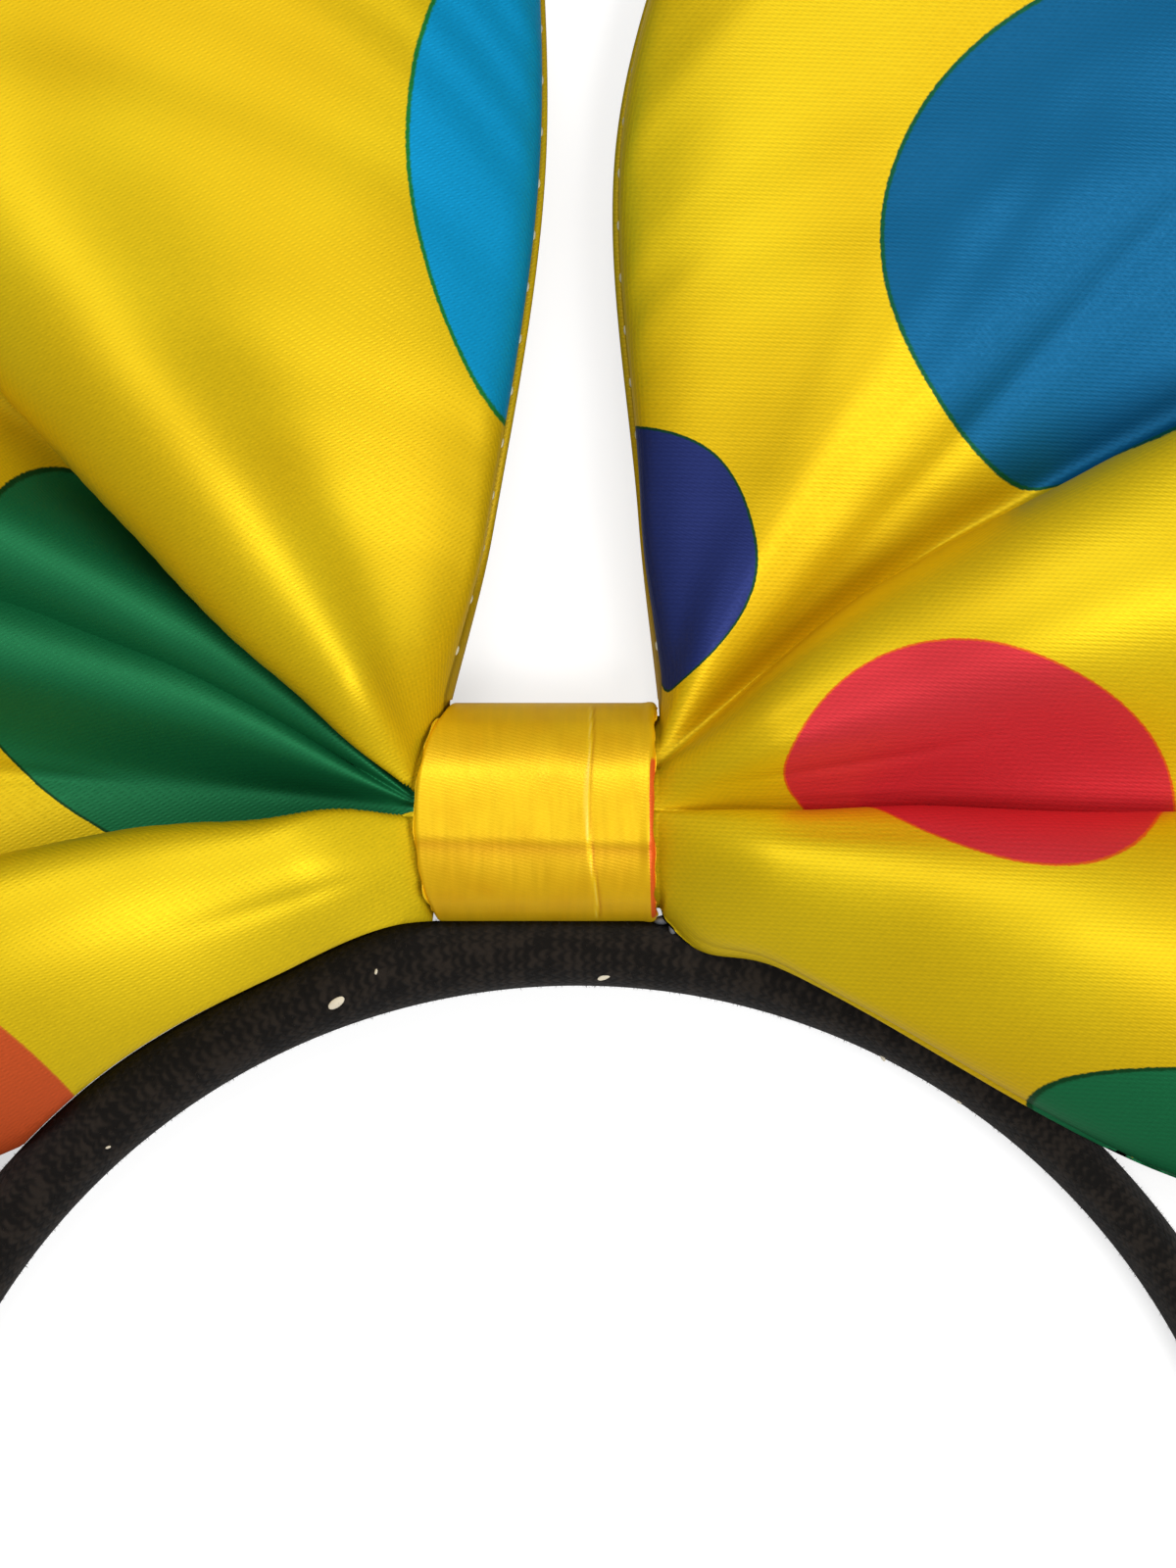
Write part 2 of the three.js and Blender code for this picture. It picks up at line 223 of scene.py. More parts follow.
def placed(piece: Piece, slot: str, *nodes: str) -> Piece:
    """Lets a piece ride on the body and hides the CAD nodes that it stands for.

    Args:
        piece: the piece.
        slot: its material slot, not used.
        *nodes: the CAD nodes that it stands for.

    Returns:
        The same piece.
    """
    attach(piece, BODY)
    if nodes:
        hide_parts(*nodes)
    LOG.info("%s: %d faces", piece.name, len(piece.data.polygons))
    return piece


# Shader graphs


class Graph:
    """Adds nodes to one tree, each linked or set from its arguments."""

    def __init__(self, tree: Tree) -> None:
        """Keeps the tree that nodes are added to."""
        self.tree = tree

    def put(self, socket: Socket, value: object) -> None:
        """Links a socket to another one, or sets its value."""
        if isinstance(value, Socket):
            self.tree.links.new(value, socket)
        elif value is not None:
            socket.default_value = value

    def add(self, kind: str, settings: dict[str, object] | None = None, **inputs: object) -> bpy.types.Node:
        """Adds a node.

        Args:
            kind: the node's type without its ShaderNode prefix.
            settings: its own settings by name.
            **inputs: its inputs, with _ for a blank in the name.

        Returns:
            The node.
        """
        node = self.tree.nodes.new("ShaderNode" + kind)
        for label, value in (settings or {}).items():
            setattr(node, label, value)
        for label, value in inputs.items():
            self.put(node.inputs[label.replace("_", " ")], value)
        return node

    def math(self, operation: str, *values: object, clamp: bool = False) -> Socket:
        """One number from others by the named operation.

        Args:
            operation: the Math node's operation.
            *values: its inputs in order.
            clamp: whether the result is kept from 0 to 1.

        Returns:
            The result.
        """
        node = self.add("Math", {"operation": operation, "use_clamp": clamp})
        for place, value in enumerate(values):
            self.put(node.inputs[place], value)
        return node.outputs[0]

    def times(self, first: object, second: object) -> Socket:
        """One number times another."""
        return self.math("MULTIPLY", first, second)

    def plus(self, first: object, second: object) -> Socket:
        """One number plus another."""
        return self.math("ADD", first, second)

    def line(self, value: object, rise: object, start: object, clamp: bool = False) -> Socket:
        """A value times its rise, plus a start."""
        return self.math("MULTIPLY_ADD", value, rise, start, clamp=clamp)

    def vector(self, operation: str, *values: object) -> bpy.types.Node:
        """A vector operation's node.

        Args:
            operation: the operation.
            *values: its inputs in order.

        Returns:
            The node.
        """
        node = self.add("VectorMath", {"operation": operation})
        for place, value in enumerate(values):
            self.put(node.inputs[place], value)
        return node

    def mix(self, share: object, first: object, second: object) -> Socket:
        """Colour between two others, from first at 0 to second at 1.

        Args:
            share: how far along.
            first: colour at 0.
            second: colour at 1.

        Returns:
            The colour.
        """
        node = self.add("Mix", {"data_type": "RGBA", "clamp_factor": True})
        self.put(node.inputs[0], share)
        self.put(node.inputs[6], first)
        self.put(node.inputs[7], second)
        return node.outputs[2]

    def scale(self, vector: object, by: object) -> Socket:
        """A vector or a colour times a number.

        Args:
            vector: the vector or colour.
            by: the number.

        Returns:
            The product.
        """
        node = self.vector("SCALE", vector)
        self.put(node.inputs["Scale"], by)
        return node.outputs[0]

    def ramp(self, value: object, low: object, high: object, first: float = 0.0, last: float = 1.0) -> Socket:
        """Eased number from first at low to last at high.

        Args:
            value: the number read.
            low: where the way starts.
            high: where it ends.
            first: result at the start.
            last: result at the end.

        Returns:
            The eased number.
        """
        node = self.add("MapRange", {"interpolation_type": "SMOOTHSTEP"})
        for place, given in enumerate((value, low, high, first, last)):
            self.put(node.inputs[place], given)
        return node.outputs[0]

    def noise(self, place: Socket, scale: float, detail: float) -> Socket:
        """Even noise with so many waves to the unit of the place."""
        return self.add("TexNoise", Vector=place, Scale=scale, Detail=detail).outputs[0]

    def group(self, tree: Tree, **inputs: object) -> bpy.types.Node:
        """Adds a group with its inputs set.

        Args:
            tree: the group's tree.
            **inputs: its inputs, with _ for a blank.

        Returns:
            The group's node.
        """
        node = self.tree.nodes.new("ShaderNodeGroup")
        node.node_tree = tree
        for label, value in inputs.items():
            self.put(node.inputs[label.replace("_", " ")], value)
        return node


class Effect(Graph):
    """A shader node group with named inputs and outputs."""

    def __init__(self, name: str, takes: dict[str, str], gives: dict[str, str]) -> None:
        """Makes the empty group.

        Args:
            name: the group's name.
            takes: socket type by input name.
            gives: socket type by output name.
        """
        super().__init__(bpy.data.node_groups.new(name, "ShaderNodeTree"))
        for way, sockets in (("INPUT", takes), ("OUTPUT", gives)):
            for label, kind in sockets.items():
                self.tree.interface.new_socket(label, in_out=way, socket_type="NodeSocket" + kind)
        self.start = self.tree.nodes.new("NodeGroupInput")
        self.end = self.tree.nodes.new("NodeGroupOutput")

    def given(self, label: str) -> Socket:
        """The group's input by name."""
        return self.start.outputs[label]

    def give(self, label: str, socket: Socket) -> Tree:
        """Feeds the group's output by name and hands over the finished group."""
        self.tree.links.new(socket, self.end.inputs[label])
        return self.tree


class Finish(Graph):
    """A material being made: its graph and its Principled shader."""

    def __init__(self, name: str) -> None:
        """Makes the plain material.

        Args:
            name: the material's name.
        """
        self.material = bpy.data.materials.new(name)
        self.material.use_nodes = True
        super().__init__(self.material.node_tree)
        self.shader = self.tree.nodes["Principled BSDF"]

    def place(self) -> Socket:
        """The point on the object, in metres."""
        return self.add("TexCoord").outputs["Object"]

    def normal(self) -> Socket:
        """The side that the surface faces."""
        return self.add("NewGeometry").outputs["Normal"]

    def mark(self, name: str) -> Socket:
        """A value that the mesh carries at its points."""
        return self.add("Attribute", {"attribute_name": name}).outputs["Fac"]

    def look(self, **values: object) -> None:
        """Links or sets the shader's inputs, with _ for a blank in the name."""
        for label, value in values.items():
            self.put(self.shader.inputs[label.replace("_", " ")], value)

    def bump(self, height: Socket, distance: float, strength: float) -> None:
        """Shades the surface by a height, in millimetres."""
        node = self.add("Bump", Height=height, Distance=distance * METRE, Strength=strength)
        self.look(Normal=node.outputs[0])


EDGE_BLUR = 0.12
FRINGE_START = 0.55
FLOAT_WAVES = 0.62
ROW_SHARE = 0.55


def printed_dot() -> Tree:
    """Group that prints one dot over the colour underneath.

    The dot is an ellipse on the flat cloth: the distance in from its edge is one less the
    length of the turned offset over the half sizes. Its rim takes the fringe colour, where
    the ink runs over the yellow.

    Returns:
        The group's tree.
    """
    takes = {"Under": "Color", "Place": "Vector", "Centre": "Vector", "Half": "Vector", "Turn": "Float",
             "Lean": "Float", "Ink": "Color", "Fringe Ink": "Color", "Fringe": "Float", "Run": "Float"}
    g = Effect("printed dot", takes, {"Color": "Color"})
    offset = g.vector("SUBTRACT", g.given("Place"), g.given("Centre")).outputs[0]
    turned = g.add("VectorRotate", {"rotation_type": "Z_AXIS"}, Vector=offset, Angle=g.given("Turn"))
    parts = g.add("SeparateXYZ", Vector=turned.outputs[0])
    halves = g.add("SeparateXYZ", Vector=g.given("Half"))
    across = g.math("DIVIDE", parts.outputs[0], halves.outputs[0])
    along = g.math("DIVIDE", parts.outputs[1], halves.outputs[1])
    leaned = g.times(along, g.line(across, g.given("Lean"), 1.0))
    far = g.math("SQRT", g.plus(g.times(across, across), g.times(leaned, leaned)))
    mean = g.times(g.plus(halves.outputs[0], halves.outputs[1]), 0.5)
    inside = g.plus(g.times(g.math("SUBTRACT", 1.0, far), mean), g.given("Run"))
    fill = g.ramp(inside, -EDGE_BLUR, EDGE_BLUR)
    rim = g.ramp(inside, g.times(g.given("Fringe"), FRINGE_START), g.given("Fringe"), 1.0, 0.0)
    ink = g.mix(rim, g.given("Ink"), g.given("Fringe Ink"))
    return g.give("Color", g.mix(fill, g.given("Under"), ink))


def satin_weave() -> Tree:
    """Group for the fine twill of the satin: slanting rows broken into short floats.

    The rows are a sine across the yarns and the floats a sine along them. They are laid
    from the side that each bit of the surface faces, so that they never stretch.

    Returns:
        The group's tree.
    """
    takes = {"Place": "Vector", "Facing": "Vector", "Pitch": "Float", "Slant": "Float"}
    g = Effect("satin weave", takes, {"Weave": "Float"})
    waves = g.math("DIVIDE", 2 * math.pi, g.given("Pitch"))
    parts = g.add("SeparateXYZ", Vector=g.scale(g.given("Place"), waves))
    facing = g.add("SeparateXYZ", Vector=g.given("Facing"))
    shares = [g.math("POWER", g.math("ABSOLUTE", facing.outputs[i]), 4.0) for i in range(3)]
    whole = g.plus(g.plus(shares[0], shares[1]), shares[2])
    total = None
    for side, (along, across) in enumerate(((1, 2), (0, 2), (0, 1))):
        slanted = g.line(parts.outputs[along], g.given("Slant"), parts.outputs[across])
        rows = g.math("SINE", slanted)
        floats = g.math("SINE", g.line(parts.outputs[along], FLOAT_WAVES, g.times(slanted, 0.5)))
        lattice = g.line(g.times(rows, floats), 1 - ROW_SHARE, g.times(rows, ROW_SHARE))
        part = g.times(lattice, g.math("DIVIDE", shares[side], whole))
        total = part if total is None else g.plus(total, part)
    return g.give("Weave", g.line(total, 0.5, 0.5))


class Ink(Enum):
    """Inks of the print: the dot's colour and the colour of its rim."""

    BLUE = (linear(0, 88, 130), linear(6, 84, 50))
    CYAN = (linear(0, 146, 198), linear(24, 118, 48))
    GREEN = (linear(22, 108, 64), linear(10, 66, 28))
    NAVY = (linear(34, 46, 104), linear(10, 62, 30))
    RED = (linear(210, 52, 60), linear(222, 96, 26))
    ORANGE = (linear(212, 88, 40), linear(216, 120, 34))


@dataclass(frozen=True)
class Dot:
    """A printed dot on the flat cloth, in millimetres: across the folds and along them."""

    place: str
    across: float
    along: float
    half_across: float
    half_along: float
    ink: Ink
    turn: float = 0.0
    lean: float = 0.0
    fringe: float = 0.75


@dataclass(frozen=True)
class DottedSatin:
    """Finish of the wings: yellow satin with big printed dots."""

    name: str
    dots: tuple[Dot, ...]
    ground: Colour = linear(224, 193, 16)
    deep: Colour = linear(217, 179, 8)
    # Painted shade: the olive-brown that the inner seam's rolled strip and groove are darkened towards.
    seam_shade: Colour = linear(122, 98, 10)
    slant: float = -0.55
    metallic: float = 0.5
    roughness: float = 0.52
    weave_pitch: float = 0.44
    weave_depth: float = 0.02
    specular: float = 0.2
    ink_run: float = 0.35
    seam_shade_strength: float = 0.75

    def make(self, dot_tree: Tree, weave_tree: Tree) -> Material:
        """Builds the material.

        Args:
            dot_tree: the printed dot group.
            weave_tree: the satin weave group.

        Returns:
            The material.
        """
        g = Finish(self.name)
        cloth = g.add("UVMap", {"uv_map": "flat_cloth"}).outputs[0]
        place = g.place()
        pitch = self.weave_pitch * METRE
        weave = g.group(weave_tree, Place=place, Facing=g.normal(), Pitch=pitch, Slant=self.slant).outputs[0]
        thread = g.noise(place, 2400.0, 2.0)
        colour = g.mix(g.ramp(g.noise(place, 26.0, 2.0), 0.35, 0.7), self.ground, self.deep)
        run = g.times(g.math("SUBTRACT", thread, 0.5), self.ink_run)
        for dot in self.dots:
            fill, rim = dot.ink.value
            colour = g.group(
                dot_tree, Under=colour, Place=cloth, Centre=(dot.across, dot.along, 0.0),
                Half=(dot.half_across, dot.half_along, 1.0), Turn=math.radians(dot.turn), Lean=dot.lean,
                Ink=fill, Fringe_Ink=rim, Fringe=dot.fringe, Run=run,
            ).outputs[0]
        # Painted shade along the inner seam's rolled strip and groove, mixed in by the mesh's seam mark.
        colour = g.mix(g.times(g.mark("painted_seam_shade"), self.seam_shade_strength), colour, self.seam_shade)
        shade = g.times(g.line(weave, 0.24, 0.88), g.line(thread, 0.12, 0.94))
        g.look(Base_Color=g.scale(colour, shade), Metallic=self.metallic, Specular_IOR_Level=self.specular,
               Roughness=g.line(thread, 0.2, self.roughness - 0.1))
        g.bump(g.line(thread, 0.4, weave), self.weave_depth, 1.0)
        return g.material


@dataclass(frozen=True)
class PlainSatin:
    """Finish of the knot: golden satin strip with fine ribs and a raw red edge, with painted shade and a
    painted highlight from the strip's mark.
    """

    name: str = "plain satin"
    ground: Colour = linear(244, 198, 20)
    deep: Colour = linear(232, 174, 6)
    # shade is painted shade and pale a painted highlight, for the crease, the top, the band below and the
    # folded-under end.
    shade: Colour = linear(196, 132, 4)
    pale: Colour = linear(255, 228, 120)
    edge: Colour = linear(226, 96, 34)
    metallic: float = 0.35
    roughness: float = 0.4
    weave_pitch: float = 0.34
    slant: float = 0.25
    weave_depth: float = 0.02

    def make(self, weave_tree: Tree) -> Material:
        """Builds the material from the satin weave group.

        Args:
            weave_tree: the satin weave group.

        Returns:
            The material.
        """
        g = Finish(self.name)
        place = g.place()
        pitch = self.weave_pitch * METRE
        weave = g.group(weave_tree, Place=place, Facing=g.normal(), Pitch=pitch, Slant=self.slant)
        ribs = g.noise(g.vector("MULTIPLY", place, (1.0, 0.12, 0.12)).outputs[0], 1600.0, 1.0)
        cloud = g.noise(place, 240.0, 2.0)
        colour = g.mix(g.ramp(cloud, 0.3, 1.1), self.ground, self.deep)
        # Painted light and shade: the strip's mark darkens the front towards shade in the crease, below it
        # and on top, and lightens it towards pale along the folded-under end.
        tone = g.mark("painted_fold_light")
        colour = g.mix(g.line(tone, -1.6, 0.8, clamp=True), colour, self.shade)
        colour = g.mix(g.line(tone, 1.2, -0.6, clamp=True), colour, self.pale)
        frayed = g.plus(g.mark("raw_edge"), g.times(g.math("SUBTRACT", cloud, 0.5), 0.7))
        colour = g.mix(g.ramp(frayed, 0.42, 0.6), colour, self.edge)
        g.look(Base_Color=g.scale(colour, g.line(ribs, 0.14, 0.93)), Metallic=self.metallic,
               Specular_IOR_Level=0.2, Roughness=g.line(ribs, 0.14, self.roughness - 0.07))
        g.bump(g.plus(ribs, g.times(weave.outputs[0], 0.8)), self.weave_depth, 0.8)
        return g.material


@dataclass(frozen=True)
class BlackKnit:
    """Finish of the hoop's sleeve: matt black brushed knit."""

    name: str = "black knit"
    ground: Colour = linear(36, 30, 25)
    deep: Colour = linear(13, 10, 8)
    wale: float = 1.25
    course: float = 1.05

    def make(self) -> Material:
        """Builds the material: rows of stitches on the sleeve's own map, under a soft nap.

        Returns:
            The material.
        """
        g = Finish(self.name)
        sleeve = g.add("UVMap", {"uv_map": "sleeve"}).outputs[0]
        place = g.place()
        parts = g.add("SeparateXYZ", Vector=sleeve)
        nap = g.noise(place, 1300.0, 3.0)
        tufts = g.noise(place, 480.0, 2.0)
        wander = g.times(g.math("SUBTRACT", g.noise(place, 160.0, 1.0), 0.5), 1.6)
        along = g.plus(parts.outputs[0], wander)
        around = g.plus(parts.outputs[1], wander)
        lean = g.math("ABSOLUTE", g.math("SINE", g.times(around, math.pi / self.wale)))
        course = g.math("SINE", g.times(g.line(lean, 0.45, along), 2 * math.pi / self.course))
        stitches = g.times(g.line(course, 0.5, 0.5), g.line(lean, 0.6, 0.4))
        loft = g.plus(g.times(stitches, 0.3), g.plus(tufts, g.times(nap, 0.45)))
        g.look(Base_Color=g.mix(g.ramp(loft, 0.68, 1.1), self.deep, self.ground), Roughness=1.0,
               Specular_IOR_Level=0.1, Sheen_Weight=0.05, Sheen_Roughness=0.7)
        g.bump(loft, 0.35, 0.7)
        return g.material


def plain_finish(name: str, colour: Colour, roughness: float, mottle: float = 0.1) -> Material:
    """A small part's finish: one colour with a faint mottle.

    Args:
        name: the material's name.
        colour: its colour.
        roughness: how dull it is.
        mottle: how much the colour varies.

    Returns:
        The material.
    """
    g = Finish(name)
    shade = g.line(g.noise(g.place(), 700.0, 2.0), 2 * mottle, 1.0 - mottle)
    g.look(Base_Color=g.scale(colour[:3], shade), Roughness=roughness)
    return g.material


# The hoop


@dataclass(frozen=True)
class Hoop:
    """Hair hoop with its knit sleeve, in millimetres along its inner edge."""

    inner_radius: float = 69.9
    thickness: float = 8.0
    depth: float = 10.0
    rest_flat: float = 0.6
    crown_turn: float = 65.0
    leg_radius: float = 110.0
    leg_turn: float = 33.0
    tip_length: float = 20.0
    tip_round: float = 5.0
    boxiness: float = 2.6
    crown_middle: float = 3.3
    rings: int = 520
    sides: int = 56
    end_crowding: float = 0.65
    fibres: int = 9000
    fibre_root: float = 0.05
    turns: tuple[float, ...] = (-98, -60, -40, -24, -14, -8, 0, 6, 10, 24, 45, 60, 98)
    shares: tuple[float, ...] = (0.9, 1, 1, 0.93, 1.06, 0.935, 0.85, 0.88, 0.98, 0.8, 0.74, 0.74, 0.76)

    def thick(self, turn: np.ndarray) -> np.ndarray:
        """Thickness at a turn in degrees from the crown."""
        return self.thickness * curve_through(np.array(self.turns, float), np.array(self.shares), turn)

    @property
    def centre_y(self) -> float:
        """Y of the crown circle's middle."""
        return -self.crown_middle - self.inner_radius

    def edge(self, distance: np.ndarray) -> tuple[np.ndarray, np.ndarray, np.ndarray]:
        """Inner edge at distances from the crown: an arc, a wider arc and a straight tip.

        Args:
            distance: distance along the edge, left of the crown below 0.

        Returns:
            The places, the ways out from the edge and the turns in degrees.
        """
        crown_length = self.inner_radius * math.radians(self.crown_turn)
        leg_length = self.leg_radius * math.radians(self.leg_turn)
        along = np.abs(distance)
        crown = np.minimum(along, crown_length) / self.inner_radius
        angle = crown + np.clip(along - crown_length, 0, leg_length) / self.leg_radius
        tip = np.maximum(0, along - crown_length - leg_length)
        x = self.inner_radius * np.sin(crown) + self.leg_radius * (np.sin(angle) - np.sin(crown))
        y = self.inner_radius * np.cos(crown) + self.leg_radius * (np.cos(angle) - np.cos(crown))
        way = np.where(distance < 0, -1.0, 1.0)
        places = [way * (x + tip * np.cos(angle)), self.centre_y + y - tip * np.sin(angle)]
        outwards = [way * np.sin(angle), np.cos(angle)]
        return np.stack(places, axis=-1), np.stack(outwards, axis=-1), way * np.degrees(angle)

    @property
    def half_length(self) -> float:
        """Distance from the crown to a tip."""
        crown_length = self.inner_radius * math.radians(self.crown_turn)
        return crown_length + self.leg_radius * math.radians(self.leg_turn) + self.tip_length

    def surface(self, distance: np.ndarray, around: np.ndarray, proud: float = 0.0) -> np.ndarray:
        """Points of the sleeve: a rounded box's section carried along the edge.

        Args:
            distance: distance from the crown along the inner edge.
            around: angle round the section, 0 outwards and a quarter turn towards +Z.
            proud: how far outside the sleeve the points lie.

        Returns:
            The points.
        """
        to_tip = np.clip((self.half_length - np.abs(distance)) / self.tip_round, 0, 1)
        shrink = np.sqrt(1 - (1 - to_tip) ** 2)
        places, outwards, turn = self.edge(distance)
        half = self.thick(turn) / 2
        across = half + (half + proud) * shrink * swell(np.cos(around), self.boxiness)
        full = (self.depth + self.rest_flat) / 2
        lift = full + (full + proud) * shrink * swell(np.sin(around), self.boxiness)
        z = np.maximum(lift, self.rest_flat) - self.rest_flat
        x = places[..., 0] + outwards[..., 0] * across
        y = places[..., 1] + outwards[..., 1] * across
        return np.stack([x, y, z], axis=-1)

    def make_sleeve(self, finish: Material) -> Piece:
        """The knit sleeve over the whole hoop, closed at both tips, with rings closer there.

        Args:
            finish: its material.

        Returns:
            The new object.
        """
        steps, sides = self.rings, self.sides + 1
        even = np.linspace(-1, 1, steps)
        quarter = math.pi / 2 * 0.985
        crowded = np.sin(even * quarter) / math.sin(quarter)
        distance = self.half_length * (even * (1 - self.end_crowding) + crowded * self.end_crowding)
        around = np.broadcast_to(np.linspace(0, 2 * math.pi, sides), (steps, sides))
        points = self.surface(distance[:, None], around)
        girth = 2 * (self.thickness + self.depth) * 0.88
        along_map = np.broadcast_to(distance[:, None], (steps, sides))
        flat = np.stack([along_map, around / (2 * math.pi) * girth], axis=-1).reshape(-1, 2)
        numbers = np.arange(steps * sides).reshape(steps, sides)
        faces = grid_faces(numbers)
        corner_map = flat[faces]
        numbers[:, -1] = numbers[:, 0]
        sleeve = Skin(points.reshape(-1, 3), numbers.ravel()[faces], {"sleeve": corner_map})
        return placed(sleeve.build("hoop_sleeve", finish), "black_cloth", "headband")

    def make_fuzz(self, finish: Material) -> Piece:
        """Loose fibres of the nap: short bent slips that stand off the sleeve.

        Args:
            finish: its material.

        Returns:
            The new object.
        """
        chance = np.random.default_rng(41)
        count = self.fibres
        distance = chance.uniform(-self.half_length + 6, self.half_length - 6, count)
        around = chance.uniform(-0.35, math.pi + 0.35, count)
        root = self.surface(distance, around, -self.fibre_root)
        out = self.surface(distance, around, 0.6) - root
        out /= np.linalg.norm(out, axis=1, keepdims=True) + 1e-9
        lean = np.cross(out, chance.normal(0, 1, (count, 3)))
        lean /= np.linalg.norm(lean, axis=1, keepdims=True)
        side = np.cross(out, lean)
        length = chance.uniform(0.2, 0.45, count)[:, None]
        side = side * chance.uniform(0.015, 0.03, count)[:, None]
        middle = root + out * length * 0.55 + lean * length * 0.15
        tip = root + out * length * 0.8 + lean * length * 0.6
        corners = [root - side, root + side, middle + side * 0.8, middle - side * 0.8, tip]
        points = np.stack(corners, axis=1).reshape(-1, 3)
        points[:, 2] = np.maximum(points[:, 2], 0.02)
        base = np.arange(count)[:, None] * len(corners)
        triangles = np.concatenate([base + [0, 1, 2], base + [0, 2, 3], base + [3, 2, 4]])
        return placed(Skin(points, triangles).build("hoop_fuzz", finish), "black_cloth")


# The knot


